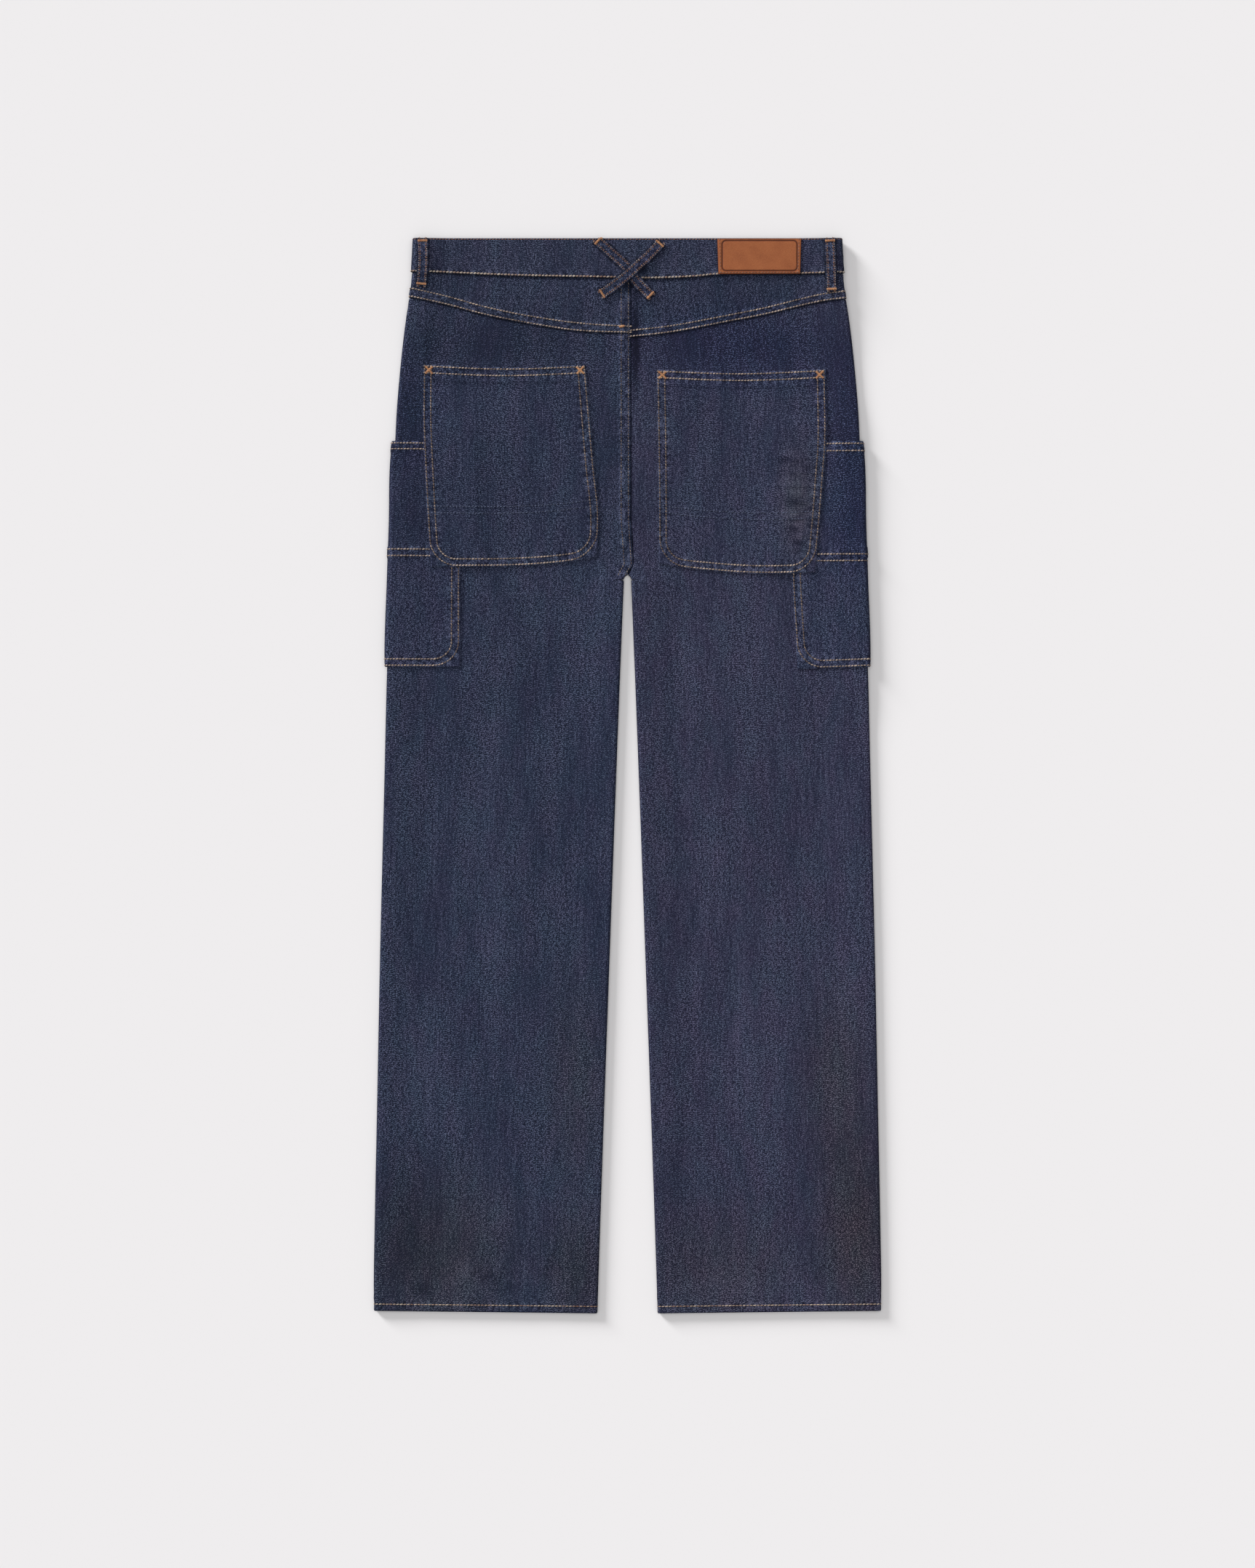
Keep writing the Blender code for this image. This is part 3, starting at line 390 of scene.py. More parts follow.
# How sewing grooves, gathers and wears the cloth, how edges are rounded, and where shade is painted: on
# rims, inner faces and steep folds, with a lighter worn rim on pockets.
GROOVE_DEPTH = 0.00028
GROOVE_WIDTH = 0.0009
PUCKER_PITCH = 0.0078
PUCKER_DRIFT = 0.030
PUCKER_SWELL = 0.022
PUCKER_REACH = 0.0070
WEAR_REACH = 0.0040
ROPE_PITCH = 0.006
EDGE_ROUNDING = 0.0008
EDGE_EASE = 0.0016
# Painted shade along each piece's rim, strongest on belt loops; negative on pockets, where the rim is
# lighter with wear.
EDGE_SHADE_WIDTH = 0.0008
EDGE_SHADE_AND_WEAR = {"loop": 8.0, "pocket": -1.6, "": 2.8}
# Painted shade on each piece's inner face, fading up its side walls.
INNER_PAINTED_SHADE = 8.0
# Painted shade where the cloth's face tilts steeply, as round the folded edges.
FOLD_PAINTED_SHADE = 3.2
FOLD_TILT = 0.6
PATTERN_STEP = 0.7
UNDER_CLEAR = 0.00062

# The weft steps this far down the warp, which shows as short dotted ladders.
LADDER_STEP = 0.00218

# Steps between the points of the cloth's grids.
FINE = 0.0009
LEG_STEP = 0.0030
LEG_ROW_STEP = 0.0042
YOKE_STEP = 0.0013
WAIST_STEP = 0.0014
FRONT_STEP = 0.0052
POCKET_STEP = 0.0018

# Side of the noise's lattice, in cells.
LATTICE = 97


def smooth(share):
    """Ease from 0 to 1 with flat ends."""
    share = np.clip(share, 0.0, 1.0)
    return share * share * (3.0 - 2.0 * share)


def uneven(across, along, seed):
    """Smooth irregular waves between -1 and 1, about one for each unit across and along."""
    lattice = np.random.default_rng(seed).uniform(-1.0, 1.0, (LATTICE, LATTICE))
    across, along = np.broadcast_arrays(across, along)
    column = np.floor(across).astype(int)
    row = np.floor(along).astype(int)
    u = smooth(across - column)
    v = smooth(along - row)
    near = lattice[row % LATTICE, column % LATTICE] * (1 - u)
    near = near + lattice[row % LATTICE, (column + 1) % LATTICE] * u
    far = lattice[(row + 1) % LATTICE, column % LATTICE] * (1 - u)
    far = far + lattice[(row + 1) % LATTICE, (column + 1) % LATTICE] * u
    return near * (1 - v) + far * v


def stations(start, end, spots, coarse, reach=0.006, fine=FINE):
    """Places from start to end: close together near the spots, wider apart elsewhere."""
    walk = np.linspace(start, end, 6000)
    density = np.full(walk.shape, 1 / coarse)
    for spot in spots:
        near = 1 - smooth((np.abs(walk - spot) - reach) / reach)
        density = np.maximum(density, 1 / coarse + (1 / fine - 1 / coarse) * near)
    count = np.concatenate(([0.0], np.cumsum((density[1:] + density[:-1]) / 2 * np.diff(walk))))
    return np.interp(np.linspace(0.0, count[-1], math.ceil(count[-1]) + 1), count, walk)


def through(knots, values, at):
    """Value at `at` on the smooth curve through the given knots."""
    knots = np.asarray(knots, float)
    values = np.asarray(values, float)
    steps = np.diff(knots)
    slopes = np.diff(values) / steps
    tangents = np.concatenate(([slopes[0]], slopes, [slopes[-1]]))
    tangents = (tangents[:-1] + tangents[1:]) / 2
    at = np.clip(at, knots[0], knots[-1])
    left = np.clip(np.searchsorted(knots, at, side="right") - 1, 0, len(steps) - 1)
    step = steps[left]
    t = (at - knots[left]) / step
    start = (2 * t ** 3 - 3 * t ** 2 + 1) * values[left]
    start += (t ** 3 - 2 * t ** 2 + t) * step * tangents[left]
    end = (3 * t ** 2 - 2 * t ** 3) * values[left + 1]
    end += (t ** 3 - t ** 2) * step * tangents[left + 1]
    return start + end


def width_at(stations_down, down):
    return through([row.down for row in stations_down], [row.half for row in stations_down], down)


def edge_at(points_on, x):
    """How far down an edge lies at x."""
    return through([point.x for point in points_on], [point.down for point in points_on], x)


def along_edge(points_on, share):
    """Point on an edge, at a share of its length."""
    xs = np.array([point.x for point in points_on])
    downs = np.array([point.down for point in points_on])
    lengths = np.concatenate(([0.0], np.cumsum(np.hypot(np.diff(xs), np.diff(downs)))))
    shares = lengths / lengths[-1]
    return through(shares, xs, share), through(shares, downs, share)


def leg_gap(down):
    """Half the gap between the legs: a round top, then straight sides that part slowly."""
    turn = np.clip((down - CROTCH) / SLOT_RADIUS, 0.0, 1.0)
    round_top = SLOT_RADIUS * np.sqrt(1 - (1 - turn) ** 2)
    return round_top + width_at(LEG_GAP, down) - LEG_GAP[0].half


def seat_seam(down):
    return np.interp(down, [point.down for point in SEAT_SEAM], [point.x for point in SEAT_SEAM])


def inner_edge(side, down):
    """Where a back panel ends, outwards from the middle: at the centre seam, then at the leg gap."""
    seam = side * seat_seam(down) + SEAM_GAP / 2
    return np.where(down < CROTCH, seam, np.maximum(leg_gap(down), SEAM_GAP / 2))


def curl(down):
    """How far a panel turns over at the inner leg: not at all on the seat, a half circle below."""
    return np.interp(down, (CROTCH - CROTCH_EASE, CROTCH, CURLED), (0.0, math.pi / 2, math.pi))


def inner_tangent(edge, down):
    return edge + FOLD_RADIUS * np.sin(np.minimum(curl(down), math.pi / 2))


def near_box(x, down, box):
    """1 over a piece that lies beneath, easing to 0 around it."""
    off_x = np.maximum(np.maximum(box.x_low - x, x - box.x_high), 0.0)
    off_down = np.maximum(np.maximum(box.down_low - down, down - box.down_high), 0.0)
    return 1.0 - smooth((np.hypot(off_x, off_down) - BENEATH_MARGIN) / BENEATH_EASE)


def ground(x, down):
    """Height of the fronts' underside above the surface that the jeans rest on."""
    level = (WAIST_RAISE + FRONT_TRIM) * (1.0 - smooth((down - WAIST_FLAT) / WAIST_EASE))
    for box in BENEATH:
        level = level + OVERLAY * near_box(x, down, box)
    return level


def creased(x, down):
    """Soft creases and ripples of the cloth, which die away before the folded edges."""
    level = RIPPLE * uneven(x / RIPPLE_WIDTH + 40, down / RIPPLE_LENGTH, 3)
    for crease in CREASES:
        lean = math.radians(crease.lean)
        off_x = x - crease.x
        off_down = down - crease.down
        across = off_x * math.cos(lean) + off_down * math.sin(lean)
        length = off_down * math.cos(lean) - off_x * math.sin(lean)
        wander = uneven(length / CREASE_BEND_LENGTH + 7, np.full_like(length, crease.x * 900), 5)
        bend = crease.half_width * CREASE_BEND * wander
        ridge = 1.0 - smooth(np.abs(across + bend) / crease.half_width)
        level = level + crease.height * ridge * (1.0 - smooth(np.abs(length) / crease.half_length))
    level = np.maximum(level, -0.8 * SEAM_GAP)
    outer = smooth((width_at(BODY_WIDTH, down) - FOLD_RADIUS - np.abs(x)) / CREASE_INLAND)
    inner = smooth((np.abs(x) - inner_tangent(leg_gap(down), down)) / CREASE_INLAND)
    return level * outer * np.where(down > CROTCH - CREASE_INLAND, inner, 1.0)


def height(x, down):
    """Height of the back panels' outer face."""
    x, down = np.broadcast_arrays(x, down)
    hem = HEM_WALL - CLOTH
    stack = STACK + 2 * hem * smooth((down - (LENGTH - HEM_DEPTH - HEM_EASE)) / HEM_EASE)
    rise = 2 * FOLD_RADIUS - stack
    centre = width_at(BODY_WIDTH, down) - FOLD_RADIUS
    outer = 1.0 - smooth((centre - np.abs(x)) / SETTLE)
    tangent = inner_tangent(leg_gap(down), down)
    inner = (1.0 - smooth((np.abs(x) - tangent) / SETTLE)) * curl(down) / math.pi
    level = ground(x, down) + stack + rise * (outer + inner) + creased(x, down)
    for ridge in RIDGES:
        across = 1.0 - smooth(np.abs(x - ridge.x) / ridge.half_width)
        length = 1.0 - smooth(np.abs(down - ridge.down) / ridge.half_length)
        level = level + ridge.height * across * length
    return level


BODY_SKIN = Skin(BODY_WIDTH, 0.0)
WAIST_SKIN = Skin(WAIST_WIDTH, WAIST_RAISE)
CARGO_SKIN = Skin(CARGO_WIDTH, OVERLAY)


def points(x, down, z):
    """Grid of points from a place on the jeans and a height."""
    x, down, z = np.broadcast_arrays(x, down, z)
    return np.stack((x, LENGTH / 2 - down, z), axis=-1)


def section(side, skin, down, along, depth, edge=None):
    """Points on a cross-section that turns over at the outseam, and at the inner leg if it has an edge.

    `along` runs over the outer face: below 0 underneath, then round the outseam and in over the top.
    `depth` is the distance inside the outer face.
    """
    radius = FOLD_RADIUS + skin.raised
    centre = width_at(skin.widths, down) - radius
    turn = np.clip(along / radius, 0.0, math.pi)
    under = np.clip(-along, 0.0, None)
    over = np.clip(along - math.pi * radius, 0.0, None)
    past = np.zeros_like(over)
    if edge is not None:
        tangent = inner_tangent(edge, down)
        past = np.clip(over - (centre - tangent), 0.0, None)
    across = centre - (over - past) - under
    bend = (radius - depth) * np.sin(turn)
    level = ground(side * centre, down) + FOLD_RADIUS
    z = level - (radius - depth) * np.cos(turn)
    z = np.where(along <= 0.0, ground(side * across, down) - skin.raised + depth, z)
    z = np.where(over > 0.0, height(side * across, down) + skin.raised - depth, z)
    across = across + bend
    if edge is not None:
        turn_in = np.minimum(past / radius, curl(down))
        back = np.clip(past - curl(down) * radius, 0.0, None)
        top = height(side * tangent, down)
        x_in = tangent - (radius - depth) * np.sin(turn_in) + back
        z_in = top - radius + (radius - depth) * np.cos(turn_in)
        across = np.where(past > 0.0, x_in, across)
        z = np.where(past > 0.0, z_in, z)
    return points(side * across, down, z)


def section_length(side, down):
    """Length of a back panel's outer face from the outseam's underside to its inner edge."""
    centre = width_at(BODY_WIDTH, down) - FOLD_RADIUS
    tangent = inner_tangent(inner_edge(side, down), down)
    turned = curl(down) * FOLD_RADIUS
    under = UNDER_IN * smooth((curl(down) / math.pi - CURLED_SHARE) / (1 - CURLED_SHARE))
    return FOLD_ARC + centre - tangent + turned + under


def back_columns(step):
    """Columns over a back panel, each a fixed distance plus a share of the section's length."""
    turns = FOLD_ARC * np.linspace(0.0, 1.0, 11)
    settling = FOLD_ARC + np.linspace(0.0, SETTLE, 14)[1:]
    outer = np.concatenate((np.linspace(-UNDER_OUT, 0.0, 5)[:-1], turns, settling))
    turned_in = np.linspace(0.0, UNDER_IN + FINE, 14)[:-1]
    inner = np.concatenate((turned_in, UNDER_IN + FINE + turns, UNDER_IN + FINE + settling))[::-1]
    count = round((PANEL_REACH - outer[-1] - inner[0]) / step)
    middle = np.linspace(0.0, 1.0, count + 1)[1:-1]
    fixed = np.concatenate((outer, outer[-1] * (1 - middle) - inner[0] * middle, -inner))
    share = np.concatenate((np.zeros_like(outer), middle, np.ones_like(inner)))
    from_edge = np.concatenate((np.full(len(outer) + len(middle), 1.0), inner))
    return Columns(fixed, share, from_edge)


LEG_COLUMNS = back_columns(LEG_STEP)
YOKE_COLUMNS = back_columns(YOKE_STEP)


def back_along(side, down, columns):
    return columns.fixed + columns.share * section_length(side, down)


def edges_over_columns(side, edge_down, columns):
    """How far down an edge lies on each column, when the edge is known by x."""
    down = np.full(len(columns.fixed), 0.06)
    for _ in range(5):
        along = back_along(side, down, columns)
        place = section(side, BODY_SKIN, down, along, 0.0, inner_edge(side, down))
        down = edge_down(place[:, 0])
    return down


def hem_rise(across, down):
    """The hem slants: it lies a little higher at the outseam than at the inner leg."""
    outwards = np.clip((across - HEM_INNER_X) / PANEL_WIDTH, 0.0, 1.0)
    return HEM_OUTER_RISE * outwards * smooth((down - HEM_SKEW) / (LENGTH - HEM_SKEW))


def fell_fade(down):
    """1 where the left side is felled over the right, fading to 0 above the crotch."""
    return 1.0 - smooth((down - FELL_FADE[0]) / (FELL_FADE[1] - FELL_FADE[0]))


def fell_raise(side, down, from_edge):
    if side == RIGHT:
        return np.zeros_like(down)
    return LAP_RAISE * (1.0 - smooth((from_edge - UNDER_IN) / FINE)) * fell_fade(down)


def top_side(along):
    """1 on the upper side of the outseam's fold, 0 on the underside."""
    return smooth((along - FOLD_ARC * 0.35) / (FOLD_ARC * 0.3))


def front_outer(down):
    return width_at(BODY_WIDTH, down) - FOLD_RADIUS - UNDER_OUT - SEAM_GAP


def front_inner(down):
    """Where a front ends: at the middle, then past the inner leg's fold, then past what is turned under."""
    parted = np.interp(down, FRONT_PART[:2], (0.0, 1.0)) * (leg_gap(down) + FOLD_RADIUS + SEAM_GAP / 2)
    return SEAM_GAP / 2 + parted + np.interp(down, FRONT_PART[1:], (0.0, UNDER_IN))


def fly_edge(down):
    turn = np.clip((down - FLY_STRAIGHT) / FLY_CURVE, 0.0, 1.0)
    return FLY_WIDTH * np.sqrt(1.0 - turn ** 2)


def coons(edges, row, column):
    """Places inside four edges, at shares down and across."""
    place = []
    for axis in (0, 1):
        top = along_edge(edges["top"], column)[axis]
        bottom = along_edge(edges["bottom"], column)[axis]
        left = along_edge(edges["left"], row)[axis]
        right = along_edge(edges["right"], row)[axis]
        first_top, last_top = edges["top"][0][axis], edges["top"][-1][axis]
        first_low, last_low = edges["bottom"][0][axis], edges["bottom"][-1][axis]
        corners = (1 - row) * ((1 - column) * first_top + column * last_top)
        corners = corners + row * ((1 - column) * first_low + column * last_low)
        place.append((1 - row) * top + row * bottom + (1 - column) * left + column * right - corners)
    return place


def cargo_cover(x, down):
    """1 where a side pocket lies on the back panel, easing to 0 around it."""
    inner = np.where(x < 0, width_at(CARGO_INNER_EDGE[LEFT], down), width_at(CARGO_INNER_EDGE[RIGHT], down))
    off_x = np.maximum(inner - np.abs(x), 0.0)
    off_down = np.maximum(CARGO_TOP - down, 0.0)
    return 1.0 - smooth((np.hypot(off_x, off_down) - BENEATH_MARGIN) / COVER_EASE)


def pocket_low(x, down):
    """Underside of the back pockets."""
    return height(x, down) + SEAM_GAP + OVERLAY * cargo_cover(x, down)


def pocket_raise(row):
    return TURNED_RAISE * (1.0 - smooth((row * POCKET_LENGTH - POCKET_TURNING) / TURNED_EASE))


def cargo_place(side, share, row):
    """Distance over the section and distance down, at a share from the inner to the front edge."""
    radius = FOLD_RADIUS + OVERLAY
    arc = math.pi * radius
    centre = width_at(CARGO_WIDTH, row) - radius
    reach = centre - width_at(CARGO_INNER_EDGE[side], row)
    front = centre - CARGO_FRONT_EDGE
    along = (arc + reach) * (1 - share) - front * share
    inwards = np.clip((along - arc) / (reach - arc), 0.0, 1.0)
    drop = CARGO_LOWER_DROP[side] * inwards
    drop = drop * smooth((row - CARGO_SEAM[1]) / (CARGO_BOTTOM - CARGO_SEAM[1]))
    return along, row + drop


def cargo_raise(along, row):
    """Turned top edge and seam band of a side pocket, where no back pocket lies on them."""
    arc = math.pi * (FOLD_RADIUS + OVERLAY)
    turned = 1.0 - smooth((row - CARGO_TOP - CARGO_TURNING) / TURNED_EASE)
    seam = smooth((row - CARGO_SEAM[0] + FINE) / FINE) * (1.0 - smooth((row - CARGO_SEAM[1]) / FINE))
    shown = top_side(along) * (1.0 - smooth((along - arc - CARGO_SHOWN) / CARGO_SHOWN_EASE))
    return TURNED_RAISE * np.maximum(turned, seam) * shown


def seam_steps(x, down):
    """Height of the waistband above the yoke, easing off below it, then of the yoke's turned edge."""
    below = down - edge_at(WAISTBAND_EDGE, x) - WAIST_STEP_MARGIN
    waist = WAIST_RAISE * (1.0 - smooth(below / WAIST_STEP_EASE))
    yoke_edge = np.where(x < 0, edge_at(YOKE_EDGE[LEFT], x), edge_at(YOKE_EDGE[RIGHT], x))
    return waist + LAP_RAISE * smooth((down - yoke_edge + YOKE_BAND + YOKE_CLIMB) / YOKE_CLIMB)


def nothing_over(x, down):
    return np.zeros_like(x)


def over_crossing(x, down):
    """Room for the lower strip, where the upper one crosses it."""
    away = np.hypot(x - CROSSING.x, down - CROSSING.down)
    return (LOOP_WALL + SEAM_GAP) * (1.0 - smooth((away - CROSSING_MARGIN) / CROSSING_EASE))


LoopStrip = namedtuple("LoopStrip", "route lift arch level_start")
LOOPS = {
    "belt_loop_left": LoopStrip(SIDE_LOOPS[LEFT], nothing_over, LOOP_ARCH, False),
    "belt_loop_right": LoopStrip(SIDE_LOOPS[RIGHT], nothing_over, LOOP_ARCH, False),
    "cross_loop_under": LoopStrip(CROSS_UNDER, nothing_over, 0.0, True),
    "cross_loop_over": LoopStrip(CROSS_OVER, over_crossing, 0.0, True),
}


def route_length(strip):
    return sum(math.dist(a, b) for a, b in zip(strip.route, strip.route[1:]))


def on_loop(strip, share, offset, lift):
    """Points on a belt loop at a share of its length and an offset across, above its upper face."""
    x, down = along_edge(strip.route, share)
    step = 0.004
    ahead_x, ahead_down = along_edge(strip.route, np.minimum(share + step, 1.0))
    back_x, back_down = along_edge(strip.route, np.maximum(share - step, 0.0))
    run = np.hypot(ahead_x - back_x, ahead_down - back_down)
    to_x = (ahead_x - back_x) / run
    to_down = (ahead_down - back_down) / run
    x = x + to_down * offset
    down = down - to_x * offset
    if strip.level_start:
        short = LOOP_START - down
        slide = np.where(short > 0, short / to_down, 0.0)
        x = x + slide * to_x
        down = down + slide * to_down
    bulge = strip.arch * np.sin(math.pi * np.clip(share, 0.0, 1.0)) ** ARCH_POWER
    low = height(x, down) + seam_steps(x, down) + SEAM_GAP + strip.lift(x, down) + bulge
    return points(x, down, low + LOOP_WALL + lift)


# Rows of sewing, each with its points, the way out of the cloth, and how it gathers the cloth.
rows = {name: [] for name in ("topstitch", "hem", "heavy", "dots", "fine", "orange", "tonal", "brown")}


def sew(thread, place, *coordinates, pucker=0.00010, slant=0.0):
    """Lay a row of sewing on a surface given by its own coordinates."""
    coordinates = np.broadcast_arrays(*coordinates)
    on = place(*coordinates, 0.0)
    out = place(*coordinates, 0.001) - on
    out = out / np.linalg.norm(out, axis=-1, keepdims=True)
    rows[thread].append(Row(on, out, pucker, slant))


def tack(place, first, last):
    """A short bar of dense orange stitches between two places."""
    share = np.linspace(0.0, 1.0, 12)
    sew("orange", place, *(a + (b - a) * share for a, b in zip(first, last)), pucker=0.0)


def u_path(width, length, inset, start):
    """A row inside a patch pocket's sides and bottom with round corners, as shares across and down."""
    radius = CORNER_RADIUS - inset
    turn = np.linspace(0.0, math.pi / 2, 24)
    low = length - inset
    side_down = np.arange(start, low - radius, SAMPLE)
    x = np.concatenate((
        np.full(len(side_down), inset), inset + radius * (1 - np.cos(turn)),
        np.arange(inset + radius, width - inset - radius, SAMPLE),
        width - inset - radius * (1 - np.cos(turn[::-1])), np.full(len(side_down), width - inset),
    ))
    bottom_count = len(x) - 2 * len(side_down) - 2 * len(turn)
    down = np.concatenate((
        side_down, low - radius + radius * np.sin(turn), np.full(bottom_count, low),
        low - radius + radius * np.sin(turn[::-1]), side_down[::-1],
    ))
    return x / width, down / length


def on_front(x, down, lift):
    return points(x, down, ground(x, down) - lift)


def sew_waistband():
    def on_band(along, down, sides, lift):
        return section(sides, WAIST_SKIN, down, along, -lift)

    along, sides = waist_columns()
    sew("brown", on_band, along, WAIST_ROWS[0], sides)
    low = waist_edge(along, sides) - WAIST_ROWS[1]
    x, _, z = on_band(along, low, sides, 0.0).T
    covered = np.flatnonzero((x > PATCH_CORNERS[2].x) & (x < PATCH_CORNERS[3].x) & (z > FOLD_RADIUS))
    for part in (slice(0, covered[0]), slice(covered[-1], len(along))):
        sew("heavy", on_band, along[part], low[part], sides[part], pucker=0.00020, slant=0.6)


def sew_yoke(side):
    def on_band(along, down, lift):
        depth = -LAP_RAISE * top_side(along) - lift
        return section(side, BODY_SKIN, down, along, depth, inner_edge(side, down))

    gaps = np.array(YOKE_ROW_GAP[side])
    for upper in (0.0, 1.0):
        def row_down(x):
            gap = upper * np.interp(np.abs(x), gaps[:, 0], gaps[:, 1])
            return edge_at(YOKE_EDGE[side], x) - EDGE_ROW - gap

        down = edges_over_columns(side, row_down, YOKE_COLUMNS)
        sew("topstitch", on_band, back_along(side, down, YOKE_COLUMNS), down, pucker=0.00018, slant=0.6)


def sew_seat():
    """Two rows on the felled centre seam, and the small bar where it crosses the yoke's rows."""
    def on_fell(x, down, lift):
        return points(x, down, height(x, down) + LAP_RAISE * fell_fade(down) + lift)

    down = np.arange(*SEAT_ROW_ENDS, SAMPLE)
    for inset in SEAT_ROWS:
        sew("fine", on_fell, seat_seam(down) - inset, down, pucker=0.00016, slant=0.6)
    tack(on_fell, *SEAT_TACK)


def sew_hem(side):
    def on_back(along, down, lift):
        return section(side, BODY_SKIN, down, along, -lift, inner_edge(side, down))

    down = LENGTH - HEM_ROW
    along = back_along(side, down, YOKE_COLUMNS)[1:-1]
    across = np.abs(on_back(along, np.full(len(along), down), 0.0)[:, 0])
    sew("hem", on_back, along, down - hem_rise(across, down), pucker=0.00024, slant=0.7)
    x = side * np.arange(front_inner(down) + 0.001, front_outer(down), SAMPLE)
    sew("hem", on_front, x, down - hem_rise(np.abs(x), down), pucker=0.0)


def sew_back_pocket(side):
    def on_pocket(column, row, lift):
        x, down = coons(POCKET_EDGES[side], row, column)
        return points(x, down, pocket_low(x, down) + CLOTH + pocket_raise(row) + lift)

    for inset in TWIN_ROWS:
        column, row = u_path(POCKET_WIDTH, POCKET_LENGTH, inset, POCKET_TOP_ROWS[0])
        sew("topstitch", on_pocket, column, row, pucker=0.00014)
    across = np.arange(0.010, 0.990, SAMPLE / POCKET_WIDTH)
    for inset in POCKET_TOP_ROWS:
        sew("topstitch", on_pocket, across, inset / POCKET_LENGTH, pucker=0.00014)
    across = np.arange(0.012, 0.988, SAMPLE / POCKET_WIDTH)
    for share in POCKET_TONAL_ROWS:
        sew("tonal", on_pocket, across, share, pucker=0.00008)
    high, low = (step / POCKET_LENGTH for step in CROSS_TACK)
    for corner, way in ((0.0, 1.0), (1.0, -1.0)):
        near, far = (corner + way * step / POCKET_WIDTH for step in CROSS_TACK)
        tack(on_pocket, (near, high), (far, low))
        tack(on_pocket, (far, high), (near, low))


def sew_cargo_pocket(side):
    width = CARGO_WIDTH[2].half - CARGO_INNER_EDGE[side][0].half + CARGO_WIDTH[2].half - CARGO_FRONT_EDGE
    length = CARGO_BOTTOM - CARGO_TOP

    def on_cargo(share, row, lift):
        along, down = cargo_place(side, share, row)
        return section(side, CARGO_SKIN, down, along, -cargo_raise(along, row) - lift)

    for inset in TWIN_ROWS:
        share, row = u_path(width, length, inset, CARGO_ROWS[side][0])
        sew("topstitch", on_cargo, share, CARGO_TOP + row * length, pucker=0.00014)
    across = np.arange(0.012, 0.988, SAMPLE / width)
    for step in CARGO_ROWS[side]:
        sew("topstitch", on_cargo, across, CARGO_TOP + step, pucker=0.00014)


def sew_loops():
    for strip in LOOPS.values():
        def on_strip(share, offset, lift):
            return on_loop(strip, share, offset, lift)

        run = route_length(strip)
        share = np.arange(0.0, 1.0, SAMPLE / run)
        for edge in (-1, 1):
            sew("dots", on_strip, share, edge * LOOP_ROWS[0], pucker=0.00008)
            sew("brown", on_strip, share, edge * LOOP_ROWS[1])
        for end in (BARTACK_INSET / run, 1 - BARTACK_INSET / run):
            tack(on_strip, (end, -BARTACK / 2), (end, BARTACK / 2))


def sew_patch():
    """Rows on the leather patch beside its two ends and its lower edge."""
    def on_leather(column, row, lift):
        x, down = patch_place(column, row)
        return points(x, down, height(x, down) + WAIST_RAISE + SEAM_GAP + PATCH_WALL + lift)

    for column in PATCH_END_ROWS:
        sew("brown", on_leather, column, np.arange(0.03, 0.96, 0.02), pucker=0.0)
    sew("brown", on_leather, np.arange(*PATCH_END_ROWS, 0.01), PATCH_LOW_ROW, pucker=0.0)


def sew_fly():
    down = np.arange(*FLY_ROW_ENDS, SAMPLE)
    for inset in TWIN_ROWS:
        sew("topstitch", on_front, -np.maximum(fly_edge(down + inset) - inset, 0.001), down, pucker=0.0)


def patch_place(column, row):
    place = []
    for top_left, top_right, low_left, low_right in zip(*PATCH_CORNERS):
        top = top_left + (top_right - top_left) * column
        bottom = low_left + (low_right - low_left) * column
        place.append(top + (bottom - top) * row)
    return place


def waist_columns():
    """Distances over the section all round the waistband, and the side that each lies on."""
    radius = FOLD_RADIUS + WAIST_RAISE
    centre = WAIST_WIDTH[0].half - radius
    arc = math.pi * radius
    count = round(centre / WAIST_STEP)
    under = np.linspace(0.0, centre - SEAM_GAP / 2, count)[:0:-1]
    half = np.concatenate((-under, np.linspace(0.0, arc, 13), arc + np.linspace(0.0, centre, count)[1:]))
    sides = np.concatenate((np.full(len(half), LEFT), np.full(len(half) - 1, RIGHT)))
    return np.concatenate((half, half[-2::-1])), sides


def waist_edge(along, sides):
    """Lower edge of the waistband on each column."""
    down = np.zeros(len(along))
    for _ in range(4):
        place = section(sides, WAIST_SKIN, down, along, 0.0)
        down = edge_at(WAISTBAND_EDGE, np.where(along > 0.0, place[:, 0], sides * WAIST_SIDE_X))
    return down


def srgb(value):
    """Linear colour of an sRGB hex value."""
    channels = [int(value[k:k + 2], 16) / 255 for k in (1, 3, 5)]
    linear = [c / 12.92 if c <= 0.04045 else ((c + 0.055) / 1.055) ** 2.4 for c in channels]
    return (*linear, 1.0)


